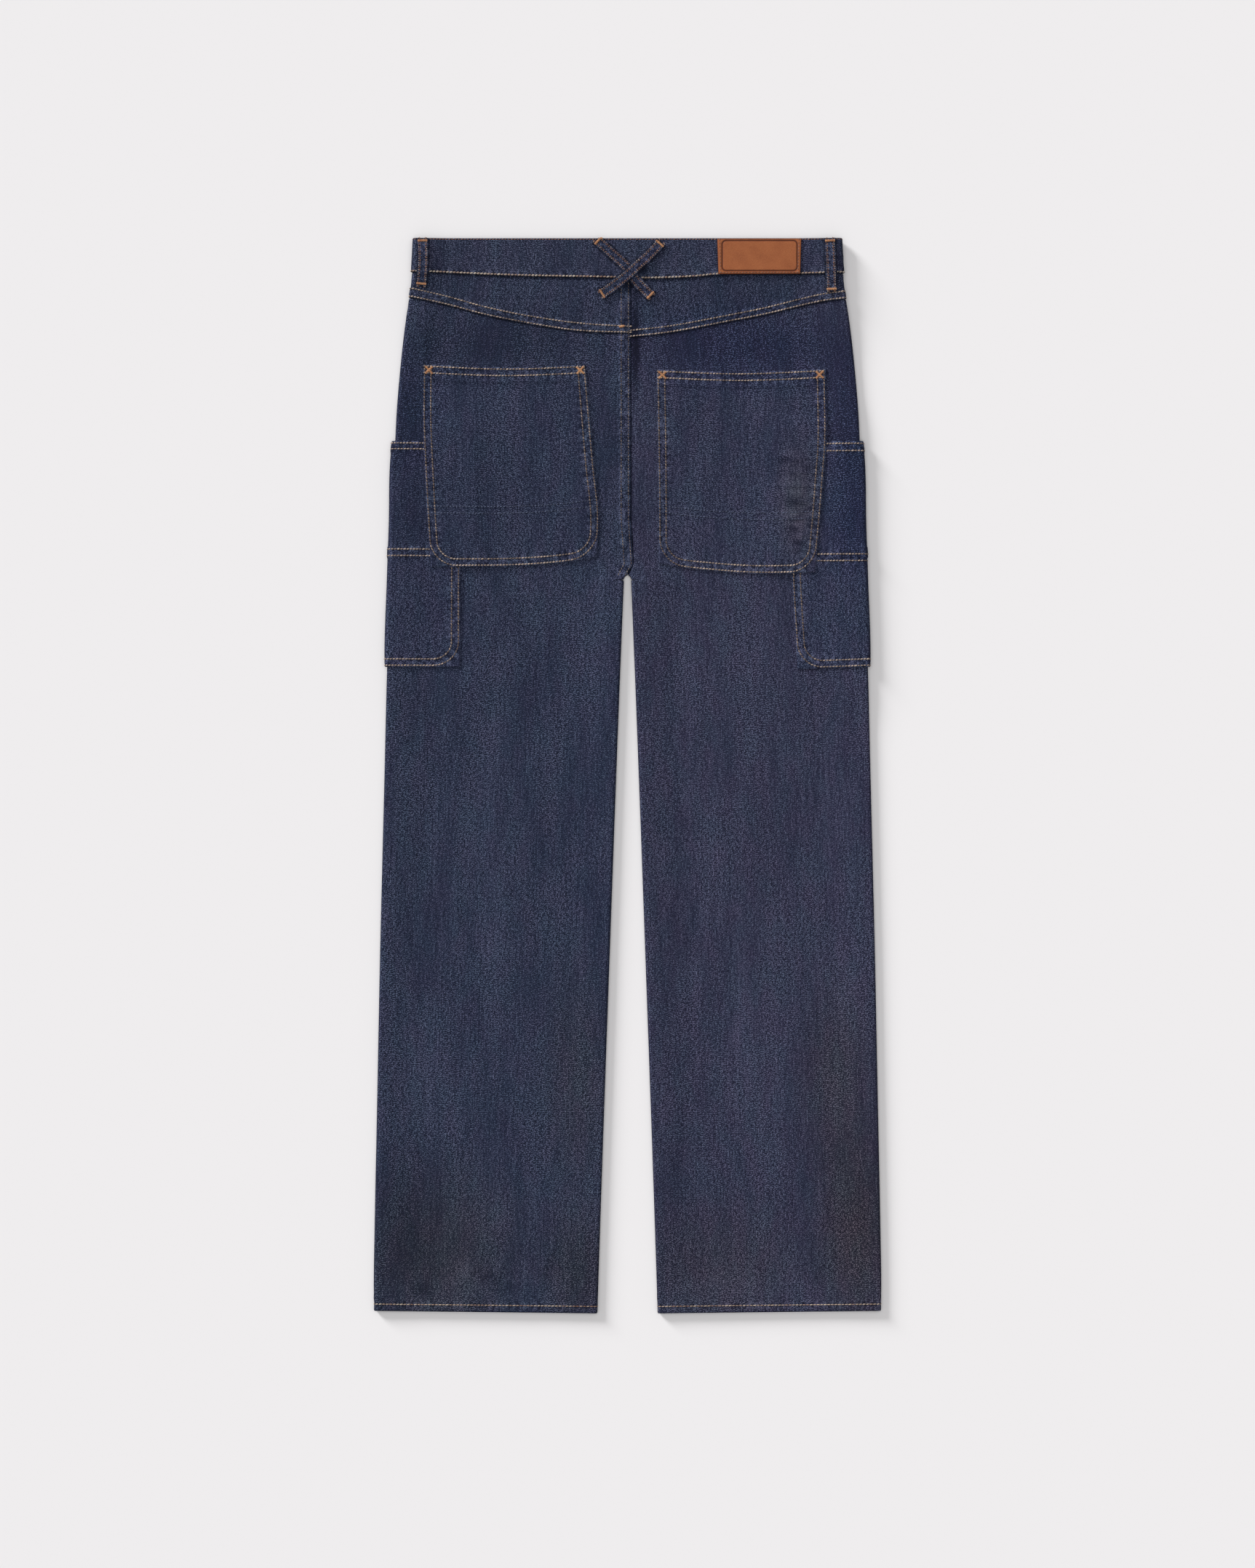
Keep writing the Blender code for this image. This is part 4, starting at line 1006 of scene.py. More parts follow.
class RowMap:
    """Finds the nearest point of the sewing, to press it into the cloth around it."""

    def __init__(self):
        pressed = [row for kind in ("topstitch", "hem", "heavy", "dots", "fine") for row in rows[kind]]
        samples = []
        for number, row in enumerate(pressed):
            run = np.concatenate(([0.0], np.cumsum(np.linalg.norm(np.diff(row.points, axis=0), axis=1))))
            same = np.broadcast_to((row.pucker, row.slant, number), (len(run), 3))
            samples.append(np.column_stack((row.points, run, same)))
        self.samples = np.concatenate(samples)
        self.tree = kdtree.KDTree(len(self.samples))
        for number, sample in enumerate(self.samples):
            self.tree.insert(sample[:3] * LAYER_STRETCH, number)
        self.tree.balance()

    def around(self, grid):
        """Lift of the cloth and how worn it is, at each point of a grid."""
        found = [self.tree.find(point)[1:] for point in grid.reshape(-1, 3) * LAYER_STRETCH]
        nearest = self.samples[[number for number, _ in found]]
        distance = np.array([away for _, away in found])
        run, pucker, slant, number = nearest[:, 3:].T
        phase = run / PUCKER_PITCH + slant * distance / PUCKER_PITCH
        phase = phase + 0.8 * uneven(run / PUCKER_DRIFT, number * 7.3, 11)
        strength = 0.45 + 0.55 * uneven(run / PUCKER_SWELL, number * 5.1, 13)
        reach = PUCKER_REACH * (1 + 1.5 * (slant > 0))
        ripple = pucker * strength * np.sin(2 * math.pi * phase) * np.exp(-(distance / reach) ** 2)
        deep = np.where(nearest[:, 2] < UNDER_CLEAR, UNDER_CLEAR, GROOVE_DEPTH)
        groove = deep * np.exp(-(distance / GROOVE_WIDTH) ** 2)
        rope = 0.10 + 0.55 * np.sin(2 * math.pi * phase) + 0.65 * uneven(run / ROPE_PITCH, number * 3.7, 17)
        wear = np.clip(rope, -0.8, 1.0) * np.exp(-(distance / WEAR_REACH) ** 2)
        shape = grid.shape[:-1]
        return (ripple - groove).reshape(shape), wear.reshape(shape)


def border_distance(grid):
    """Distance of each grid point from the nearest edge of its piece."""
    nearest = np.full(grid.shape[:2], 1.0)
    for axis in (0, 1):
        step = np.linalg.norm(np.diff(grid, axis=axis), axis=-1)
        pad = [(0, 0), (0, 0)]
        pad[axis] = (1, 0)
        run = np.pad(np.cumsum(step, axis=axis), pad)
        total = run[-1:, :] if axis == 0 else run[:, -1:]
        nearest = np.minimum(nearest, np.minimum(run, total - run))
    return nearest


def spotted(spots, x, down):
    """Sum of soft round spots: lighter and darker places, of the dye or of painted shade, or warmer and
    bluer places of the dye.
    """
    amount = np.zeros(np.broadcast(x, down).shape)
    for fade in spots:
        away = np.hypot((x - fade.x) / fade.half_width, (down - fade.down) / fade.half_length)
        amount = amount + fade.amount * (1.0 - smooth(away / 1.4))
    return amount


def smooth_mesh(name, vertices, faces, sharp):
    """A mesh shaded smooth, apart from edges sharper than an angle in degrees."""
    mesh = bpy.data.meshes.new(name)
    mesh.from_pydata(vertices, [], faces)
    mesh.polygons.foreach_set("use_smooth", np.ones(len(faces), bool))
    mesh.set_sharp_from_angle(angle=math.radians(sharp))
    return mesh


def closed_mesh(name, outer, inner):
    """A closed wall between two grids of points, with its faces turned outwards."""
    count = outer.shape[0] * outer.shape[1]
    numbers = np.arange(count).reshape(outer.shape[:2])
    faces = []
    for grid in (numbers, numbers[::-1] + count):
        corners = (grid[:-1, :-1], grid[:-1, 1:], grid[1:, 1:], grid[1:, :-1])
        faces.append(np.stack(corners, axis=-1).reshape(-1, 4))
    border = np.concatenate((numbers[0, :-1], numbers[:-1, -1], numbers[-1, :0:-1], numbers[:0:-1, 0]))
    after = np.roll(border, -1)
    faces.append(np.stack((after, border, border + count, after + count), axis=-1))
    faces = np.concatenate(faces)
    row, column = outer.shape[0] // 2, outer.shape[1] // 2
    centre = outer[row, column]
    normal = np.cross(outer[row, column + 1] - centre, outer[row + 1, column] - centre)
    if np.dot(normal, centre - inner[row, column]) < 0:
        faces = faces[:, ::-1]
    vertices = np.concatenate((outer.reshape(-1, 3), inner.reshape(-1, 3)))
    return smooth_mesh(name, vertices.tolist(), faces.tolist(), 50)


def add_attribute(mesh, name, values, kind="FLOAT", field="value"):
    attribute = mesh.attributes.new(name, kind, "POINT")
    attribute.data.foreach_set(field, values.astype(np.float32).ravel())


def add_uv(mesh, across, along):
    """A flat pattern of the piece in metres, so that the weave follows the cloth."""
    place = np.stack((across, along), axis=-1).reshape(-1, 2)
    place = np.concatenate((place, place)).astype(np.float32)
    loops = np.zeros(len(mesh.loops), int)
    mesh.loops.foreach_get("vertex_index", loops)
    mesh.uv_layers.new(name="cloth").data.foreach_set("uv", place[loops].ravel())


def link(name, data):
    made = bpy.data.objects.new(name, data)
    bpy.context.scene.collection.objects.link(made)
    return made


def add_piece(mesh, material, node):
    """Show a mesh in place of a node."""
    mesh.materials.append(material)
    piece = link(mesh.name, mesh)
    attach(piece, "root")
    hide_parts(node)
    return piece


def make_cloth(cut, material, row_map, number):
    """A piece of cloth from its two faces, pressed by its sewing, in place of its node."""
    outer, inner, across, along = cut.make(cut.side, cut.node)
    out = outer - inner
    out = out / np.linalg.norm(out, axis=-1, keepdims=True)
    lift, wear = row_map.around(outer)
    edge = border_distance(outer)
    rounding = 0.6 * EDGE_ROUNDING * (1.0 - smooth(edge / EDGE_ROUNDING))
    lift = lift * smooth(edge / EDGE_EASE) - rounding
    down = LENGTH / 2 - outer[..., 1]
    # Painted shade: a dark rim along each piece's edge, lighter and worn on pockets; the spots add painted
    # shade in places too.
    dark = next(amount for word, amount in EDGE_SHADE_AND_WEAR.items() if word in cut.node)
    fade = spotted(DYE_AND_SHADE_SPOTS, outer[..., 0], down) - dark * np.exp(-(edge / EDGE_SHADE_WIDTH) ** 2)
    slope = np.cross(*(np.gradient(outer, axis=axis) for axis in (0, 1)))
    level = np.abs(slope[..., 2]) / np.linalg.norm(slope, axis=-1)
    # Painted shade on the steep sides of the folds.
    fade = fade - FOLD_PAINTED_SHADE * smooth((1.0 - level) / FOLD_TILT)
    face = outer + out * lift[..., None]
    face[..., 2] = np.maximum(face[..., 2], 0.0)
    mesh = closed_mesh(f"cloth_{cut.node}", face, inner)
    across, along = (np.broadcast_to(place, edge.shape) for place in (across, along))
    add_uv(mesh, across + PATTERN_STEP * number, along)
    add_attribute(mesh, "wear", np.stack((wear, np.zeros_like(wear))))
    add_attribute(mesh, "warm", np.stack((spotted(WARM_SPOTS, outer[..., 0], down),) * 2))
    # The inner face gets painted shade, which darkens the side walls too.
    add_attribute(mesh, "fade", np.stack((fade, np.full_like(fade, -INNER_PAINTED_SHADE))))
    piece = add_piece(mesh, material, cut.node)


def add(tree, kind, settings=None, inputs=None):
    """Add a node with its settings, and set or link its inputs by name or number."""
    made = tree.nodes.new(kind)
    for name, value in (settings or {}).items():
        setattr(made, name, value)
    for name, value in (inputs or {}).items():
        if isinstance(name, int):
            socket = made.inputs[name]
        else:
            socket = next(s for s in made.inputs if s.name == name and s.enabled)
        if isinstance(value, bpy.types.NodeSocket):
            tree.links.new(value, socket)
        else:
            socket.default_value = value
    return made


def result(made, name=None):
    """A node's output by name, or its first one that is in use."""
    return next(s for s in made.outputs if s.enabled and name in (None, s.name))


def new_material(name):
    """A material with its shader, without links yet."""
    made = bpy.data.materials.new(name)
    made.use_nodes = True
    tree = made.node_tree
    shader = tree.nodes["Principled BSDF"]
    return made, tree, shader


def noise(tree, place, size, detail, roughness=0.5, turn=0.0):
    """Noise with its cells of the given width and length, in metres."""
    mapped = add(tree, "ShaderNodeMapping", {"vector_type": "TEXTURE"}, {
        "Vector": place, "Rotation": (0.0, 0.0, turn), "Scale": (size[0], size[1], 1.0),
    })
    texture = add(tree, "ShaderNodeTexNoise", {"noise_dimensions": "2D"}, {
        "Vector": result(mapped), "Scale": 1.0, "Detail": detail, "Roughness": roughness,
    })
    return result(texture)


def weighted(tree, base, terms):
    """base plus each value's distance from its middle times its weight."""
    total = base
    for value, middle, weight in terms:
        centred = add(tree, "ShaderNodeMath", {"operation": "MULTIPLY_ADD"}, {
            0: value, 1: weight, 2: -middle * weight,
        })
        total = result(add(tree, "ShaderNodeMath", {"operation": "ADD"}, {0: total, 1: result(centred)}))
    return total


def denim(name, dark, middle, light):
    """Raw indigo denim: a warp-faced 3/1 twill, washed once.

    The warp is indigo and the weft is undyed, so the eye gets a dark blue ground with pale specks
    1.4 mm wide, short dotted ladders down the warp where the weft steps 2.2 mm at a time, and soft
    lighter streaks where the yarn is thicker. The real twill lines lie 0.6 mm apart, too fine here.
    """
    made, tree, shader = new_material(name)
    place = result(add(tree, "ShaderNodeUVMap", {"uv_map": "cloth"}))
    speck = noise(tree, place, (0.0014, 0.0010), 1.0, 0.8)
    twill = noise(tree, place, (0.0022, 0.0035), 1.0, 0.8, math.radians(-30))
    drift = noise(tree, place, (0.0020, 0.030), 1.0, 0.5)
    slub = noise(tree, place, (0.0012, 0.030), 2.0, 0.8)
    mottle = noise(tree, place, (0.0040, 0.090), 3.0, 0.6)
    clouds = noise(tree, place, (0.014, 0.110), 2.0, 0.6)
    patches = noise(tree, place, (0.040, 0.160), 2.0, 0.6)
    wear = result(add(tree, "ShaderNodeAttribute", {"attribute_name": "wear"}), "Fac")
    # This attribute holds the dye's fades and painted shade at rims, folds, inner faces and some spots.
    fade = result(add(tree, "ShaderNodeAttribute", {"attribute_name": "fade"}), "Fac")
    crisp = result(add(tree, "ShaderNodeMapRange", None, {
        "Value": patches, "From Min": 0.35, "From Max": 0.65, "To Min": 0.65, "To Max": 1.35,
    }))
    along = result(add(tree, "ShaderNodeSeparateXYZ", None, {0: place}), "Y")
    climb = result(add(tree, "ShaderNodeMath", {"operation": "MULTIPLY"}, {
        0: along, 1: 2 * math.pi / LADDER_STEP,
    }))
    step = result(add(tree, "ShaderNodeMath", {"operation": "MULTIPLY_ADD"}, {0: drift, 1: 14.0, 2: climb}))
    ladder = result(add(tree, "ShaderNodeMath", {"operation": "SINE"}, {0: step}))
    grain = weighted(tree, 0.0, ((speck, 0.5, 2.0), (twill, 0.5, 0.70), (ladder, 0.0, 0.12)))
    grain = result(add(tree, "ShaderNodeMath", {"operation": "MULTIPLY"}, {0: grain, 1: crisp}))
    tone = weighted(tree, 0.5, (
        (grain, 0.0, 1.0), (slub, 0.5, 0.52), (mottle, 0.5, 0.18), (clouds, 0.5, 0.13),
        (wear, 0.0, 0.42), (fade, 0.0, 0.09),
    ))
    ramp = add(tree, "ShaderNodeValToRGB", None, {"Fac": tone})
    ramp.color_ramp.elements[0].color = srgb(dark)
    ramp.color_ramp.elements[1].color = srgb(light)
    ramp.color_ramp.elements.new(0.5).color = srgb(middle)
    hue = noise(tree, place, (0.018, 0.040), 2.0, 0.5)
    cast = add(tree, "ShaderNodeValToRGB", None, {"Fac": hue})
    cast.color_ramp.elements[0].position = 0.3
    cast.color_ramp.elements[0].color = (0.93, 1.03, 1.0, 1.0)
    cast.color_ramp.elements[1].position = 0.7
    cast.color_ramp.elements[1].color = (1.08, 0.97, 1.0, 1.0)
    dyed = add(tree, "ShaderNodeVectorMath", {"operation": "MULTIPLY"}, {
        0: result(ramp, "Color"), 1: result(cast, "Color"),
    })
    warm = result(add(tree, "ShaderNodeAttribute", {"attribute_name": "warm"}), "Fac")
    shift = add(tree, "ShaderNodeVectorMath", {"operation": "MULTIPLY_ADD"}, {
        0: warm, 1: (0.09, -0.02, -0.17), 2: (1.0, 1.0, 1.0),
    })
    dyed = add(tree, "ShaderNodeVectorMath", {"operation": "MULTIPLY"}, {0: result(dyed), 1: result(shift)})
    tree.links.new(result(dyed), shader.inputs["Base Color"])
    relief = weighted(tree, 0.0, ((speck, 0.5, 1.2), (slub, 0.5, 0.5)))
    bump = add(tree, "ShaderNodeBump", None, {"Strength": 0.5, "Distance": 0.0004, "Height": relief})
    tree.links.new(result(bump), shader.inputs["Normal"])
    shader.inputs["Roughness"].default_value = 0.92
    shader.inputs["Specular IOR Level"].default_value = 0.15
    shader.inputs["Sheen Weight"].default_value = 0.03
    shader.inputs["Sheen Roughness"].default_value = 0.5
    return made


def thread(name, plain, pale):
    """Spun polyester core thread, size 30: matt, with each stitch a little lighter or darker."""
    made, tree, shader = new_material(name)
    tone = result(add(tree, "ShaderNodeAttribute", {"attribute_name": "tone"}), "Fac")
    place = result(add(tree, "ShaderNodeTexCoord"), "Object")
    fuzz = result(add(tree, "ShaderNodeTexNoise", None, {"Vector": place, "Scale": 420.0, "Detail": 2.0}))
    patches = result(add(tree, "ShaderNodeTexNoise", None, {"Vector": place, "Scale": 34.0, "Detail": 2.0}))
    share = weighted(tree, 0.0, ((tone, 0.0, 0.75), (patches, 0.4, 1.2)))
    ramp = add(tree, "ShaderNodeValToRGB", None, {"Fac": share})
    ramp.color_ramp.elements[0].color = srgb(plain)
    ramp.color_ramp.elements[1].color = srgb(pale)
    tree.links.new(result(ramp, "Color"), shader.inputs["Base Color"])
    bump = add(tree, "ShaderNodeBump", None, {"Strength": 0.4, "Distance": 0.0003, "Height": fuzz})
    tree.links.new(result(bump), shader.inputs["Normal"])
    shader.inputs["Roughness"].default_value = 0.75
    return made


def leather(name):
    """Vegetable-tanned cowhide, pressed with a hot frame: warm tan, darker where it was pressed.

    Fine pores 0.7 mm apart and cloudy dye give the eye a smooth hide with a dull gloss.
    """
    made, tree, shader = new_material(name)
    place = result(add(tree, "ShaderNodeTexCoord"), "Object")
    clouds = result(add(tree, "ShaderNodeTexNoise", None, {"Vector": place, "Scale": 90.0, "Detail": 4.0}))
    pores = result(add(tree, "ShaderNodeTexVoronoi", None, {"Vector": place, "Scale": 1400.0}), "Distance")
    pressed = result(add(tree, "ShaderNodeAttribute", {"attribute_name": "pressed"}), "Fac")
    tone = weighted(tree, 0.6, ((clouds, 0.5, 0.45), (pores, 0.5, 0.30), (pressed, 0.0, -1.2)))
    ramp = add(tree, "ShaderNodeValToRGB", None, {"Fac": tone})
    ramp.color_ramp.elements[0].color = srgb("#55260F")
    ramp.color_ramp.elements[1].color = srgb("#A5633A")
    ramp.color_ramp.elements.new(0.55).color = srgb("#8F502C")
    tree.links.new(result(ramp, "Color"), shader.inputs["Base Color"])
    relief = weighted(tree, 0.0, ((pores, 0.5, 0.6), (clouds, 0.5, 0.5)))
    bump = add(tree, "ShaderNodeBump", None, {"Strength": 0.5, "Distance": 0.0003, "Height": relief})
    tree.links.new(result(bump), shader.inputs["Normal"])
    shader.inputs["Roughness"].default_value = 0.6
    shader.inputs["Specular IOR Level"].default_value = 0.25
    return made


def brass(name):
    """Stamped brass, tumbled to an antique finish: brown and brighter in soft random stains."""
    made, tree, shader = new_material(name)
    place = result(add(tree, "ShaderNodeTexCoord"), "Object")
    stain = result(add(tree, "ShaderNodeTexNoise", None, {"Vector": place, "Scale": 600.0, "Detail": 4.0}))
    ramp = add(tree, "ShaderNodeValToRGB", None, {"Fac": stain})
    ramp.color_ramp.elements[0].position = 0.3
    ramp.color_ramp.elements[0].color = srgb("#6B4F2E")
    ramp.color_ramp.elements[1].position = 0.7
    ramp.color_ramp.elements[1].color = srgb("#A98A5B")
    tree.links.new(result(ramp, "Color"), shader.inputs["Base Color"])
    bump = add(tree, "ShaderNodeBump", None, {"Strength": 0.3, "Distance": 0.0002, "Height": stain})
    tree.links.new(result(bump), shader.inputs["Normal"])
    shader.inputs["Metallic"].default_value = 1.0
    shader.inputs["Roughness"].default_value = 0.38
    return made


def hem_wall(down):
    """Thickness of a leg's wall, doubled where the hem is turned in."""
    return CLOTH + (HEM_WALL - CLOTH) * smooth((down - LENGTH + HEM_DEPTH + FINE) / FINE)


# Each cut piece: its outer and inner face as grids of points, and its flat pattern across and along.
def make_yoke(side, node):
    top = edges_over_columns(side, lambda x: edge_at(WAISTBAND_EDGE, x), YOKE_COLUMNS) + SEAM_GAP / 2
    bottom = edges_over_columns(side, lambda x: edge_at(YOKE_EDGE[side], x), YOKE_COLUMNS) - SEAM_GAP / 2
    span = 0.05
    share = stations(0.0, span, (span - 0.002, span - 0.009), 0.003, 0.003)[:, None] / span
    down = top + (bottom - top) * share
    along = back_along(side, down, YOKE_COLUMNS)
    band = LAP_RAISE * smooth((down - (bottom - YOKE_BAND)) / FINE)
    raised = np.maximum(band, fell_raise(side, down, YOKE_COLUMNS.from_edge)) * top_side(along)
    edge = inner_edge(side, down)
    outer = section(side, BODY_SKIN, down, along, -raised, edge)
    return outer, section(side, BODY_SKIN, down, along, CLOTH, edge), side * along, down


def make_back(side, node):
    top = edges_over_columns(side, lambda x: edge_at(YOKE_EDGE[side], x), LEG_COLUMNS) + SEAM_GAP / 2
    first = float(top[-1])
    down_rows = stations(first, LENGTH, (first, CROTCH, LENGTH - 0.004), LEG_ROW_STEP, 0.007)[:, None]
    from_top = (top - first) * (1.0 - smooth((down_rows - first) / YOKE_SKEW))
    along = back_along(side, down_rows, LEG_COLUMNS)
    flat = section(side, BODY_SKIN, down_rows, along, 0.0, inner_edge(side, down_rows))
    down = down_rows + from_top - hem_rise(np.abs(flat[..., 0]), down_rows)
    along = back_along(side, down, LEG_COLUMNS)
    edge = inner_edge(side, down)
    raised = fell_raise(side, down, LEG_COLUMNS.from_edge) * top_side(along)
    outer = section(side, BODY_SKIN, down, along, -raised, edge)
    inner = section(side, BODY_SKIN, down, along, np.broadcast_to(hem_wall(down_rows), down.shape), edge)
    return outer, inner, side * along, down


def make_front(side, node):
    start = edge_at(WAISTBAND_EDGE, side * WAIST_SIDE_X) + SEAM_GAP / 2
    down = stations(start, LENGTH, (FLY_END, CROTCH, LENGTH - 0.004), FRONT_STEP, 0.006)[:, None]
    inner_x = front_inner(down)
    if side == LEFT:
        inner_x = np.where(down < FLY_END + FLY_CORNER / 2, fly_edge(down) + SEAM_GAP, inner_x)
    share = np.linspace(0.0, 1.0, round(PANEL_WIDTH / FRONT_STEP))
    across = front_outer(down) + (inner_x - front_outer(down)) * share
    lie = down - hem_rise(across, down)
    x = side * across
    under = ground(x, lie)
    return points(x, lie, under), points(x, lie, under + hem_wall(down)), x, lie


def make_fly(side, node):
    start = edge_at(WAISTBAND_EDGE, -WAIST_SIDE_X) + SEAM_GAP / 2
    down = stations(start, FLY_END, (FLY_END,), 0.003)[:, None]
    x = -SEAM_GAP / 2 - (fly_edge(down) - SEAM_GAP / 2) * np.linspace(0.0, 1.0, 22)
    under = ground(x, down)
    return points(x, down, under), points(x, down, under + CLOTH), x, down


def make_waistband(side, node):
    along, sides = waist_columns()
    depth = WAISTBAND_EDGE[4].down
    share = stations(0.0, depth, (0.001, depth - 0.001), 0.0028, 0.002)[:, None] / depth
    down = (waist_edge(along, sides) - SEAM_GAP / 2) * share
    outer, inner = (section(sides, WAIST_SKIN, down, along, inside) for inside in (0.0, 2 * CLOTH))
    return outer, inner, np.where(sides == LEFT, along, 2 * along.max() - along), down


def make_back_pocket(side, node):
    turn = 0.008
    spots = (0.0, POCKET_TOP_ROWS[1], POCKET_TURNING, POCKET_LENGTH - turn / 2)
    row = stations(0.0, POCKET_LENGTH, spots, POCKET_STEP, 0.004)[:, None] / POCKET_LENGTH
    spots = (0.001, turn, POCKET_WIDTH - turn, POCKET_WIDTH - 0.001)
    column = stations(0.0, POCKET_WIDTH, spots, POCKET_STEP, 0.002) / POCKET_WIDTH
    x, down = coons(POCKET_EDGES[side], row, column)
    low = pocket_low(x, down)
    return points(x, down, low + CLOTH + pocket_raise(row)), points(x, down, low), x, down


def make_cargo_pocket(side, node):
    spots = (CARGO_TOP + 0.001, CARGO_TOP + 0.009, *CARGO_SEAM, CARGO_BOTTOM - 0.002, CARGO_BOTTOM - 0.008)
    row = stations(CARGO_TOP, CARGO_BOTTOM, spots, POCKET_STEP, 0.002)[:, None]
    width = 0.165
    fold = 0.45 * width
    spots = (0.001, 0.008, fold, width - 0.008, width - 0.001)
    share = stations(0.0, width, spots, POCKET_STEP, 0.003) / width
    along, down = cargo_place(side, share, row)
    outer = section(side, CARGO_SKIN, down, along, -cargo_raise(along, row))
    return outer, section(side, CARGO_SKIN, down, along, CLOTH), side * along, down


def make_loop(side, node):
    strip = LOOPS[node]
    run = route_length(strip)
    share = np.linspace(0.0, 1.0, round(run / FINE) + 1)[:, None]
    offset = np.linspace(-LOOP_WIDTH / 2, LOOP_WIDTH / 2, 16)
    outer, inner = (on_loop(strip, share, offset, lift) for lift in (0.0, -LOOP_WALL))
    return outer, inner, offset, share * run


def make_front_loop(side, node):
    down = np.linspace(LOOP_START, FRONT_LOOP_END, 40)[:, None]
    offset = np.linspace(-LOOP_WIDTH / 2, LOOP_WIDTH / 2, 12)
    x = side * FRONT_LOOP_X + offset
    step = WAIST_RAISE * (1.0 - smooth((down - FRONT_LOOP_STEP) / FRONT_LOOP_EASE))
    high = ground(x, down) - step - SEAM_GAP
    return points(x, down, high - LOOP_WALL), points(x, down, high), offset, down


def make_patch(material):
    """The leather patch, with a thin frame pressed into it and its middle left bare."""
    frame_low, frame_high = EdgePoint(0.0943, 0.0026), EdgePoint(0.1689, 0.0327)
    corner = 0.0040
    x, down = patch_place(np.linspace(0.0, 1.0, 140), np.linspace(0.0, 1.0, 60)[:, None])
    off_x, off_down = (
        np.abs(place - low - (high - low) / 2) - (high - low) / 2 + corner
        for place, low, high in zip((x, down), frame_low, frame_high)
    )
    outside = np.hypot(np.maximum(off_x, 0), np.maximum(off_down, 0)) - corner
    away = np.abs(outside + np.minimum(np.maximum(off_x, off_down), 0))
    pressed = np.exp(-(away / PRESSED_WIDTH) ** 2)
    low = height(x, down) + WAIST_RAISE + SEAM_GAP
    outer = points(x, down, low + PATCH_WALL)
    edge = border_distance(outer)
    burnt = np.exp(-(edge / PRESSED_WIDTH) ** 2)
    rounding = PATCH_ROUNDING * (1.0 - smooth(edge / PATCH_ROUNDING_WIDTH))
    outer[..., 2] -= PRESSED_DEPTH * pressed + rounding
    mesh = closed_mesh("leather_patch", outer, points(x, down, low))
    add_attribute(mesh, "pressed", np.stack((np.maximum(pressed, 0.6 * burnt),) * 2))
    add_piece(mesh, material, "patch")


def make_button(material):
    """A turned jeans button: a domed rim round a dished middle."""
    profile = (
        (0.0030, 0.00030), (0.0052, 0.00045), (0.0062, 0.00020), (0.0070, 0.00002),
        (0.0078, 0.00010), (0.0084, 0.00045), (0.0085, 0.00090), (0.0080, 0.00140),
    )
    sides = 48
    turn = np.linspace(0.0, 2 * math.pi, sides, endpoint=False)
    vertices = [
        (BUTTON_X + radius * math.cos(angle), LENGTH / 2 - BUTTON_DOWN + radius * math.sin(angle), z)
        for radius, z in profile for angle in turn
    ]
    faces = []
    for first in range(0, len(vertices) - sides, sides):
        for k in range(sides):
            after = (k + 1) % sides
            faces.append((first + k, first + sides + k, first + sides + after, first + after))
    faces.append(tuple(range(sides)))
    faces.append(tuple(reversed(range(len(vertices) - sides, len(vertices)))))
    add_piece(smooth_mesh("brass_button", vertices, faces, 40), material, "waist_button")


# The last field is painted shade: the share by which rows running down the legs are darkened.
StitchKind = namedtuple("StitchKind", "pitch length width height turn lift seed sunk")
STITCH_INPUTS = ("Pitch", "Length", "Width", "Height", "Turn", "Lift", "Seed")
STITCHES = {
    "topstitch": StitchKind(0.0031, 0.0032, 0.00155, 0.0009, 0.20, 0.00010, 1, 0.70),
    "heavy": StitchKind(0.0034, 0.0036, 0.00190, 0.0010, 0.26, 0.00012, 6, 0.5),
    "dots": StitchKind(0.0022, 0.0016, 0.00110, 0.0008, 0.10, 0.00010, 7, 0.50),
    "fine": StitchKind(0.0031, 0.0028, 0.00095, 0.0007, 0.16, 0.00004, 5, 0.55),
    "orange": StitchKind(0.0007, 0.0028, 0.00090, 0.0009, math.pi / 2, 0.00030, 2, 0.0),
    "tonal": StitchKind(0.0031, 0.0024, 0.00100, 0.0007, 0.10, 0.00016, 3, 0.0),
    "brown": StitchKind(0.0031, 0.0027, 0.00080, 0.0006, 0.10, 0.00002, 4, 0.0),
    "hem": StitchKind(0.0035, 0.0038, 0.00110, 0.0008, 0.06, 0.00008, 8, 0.0),
}


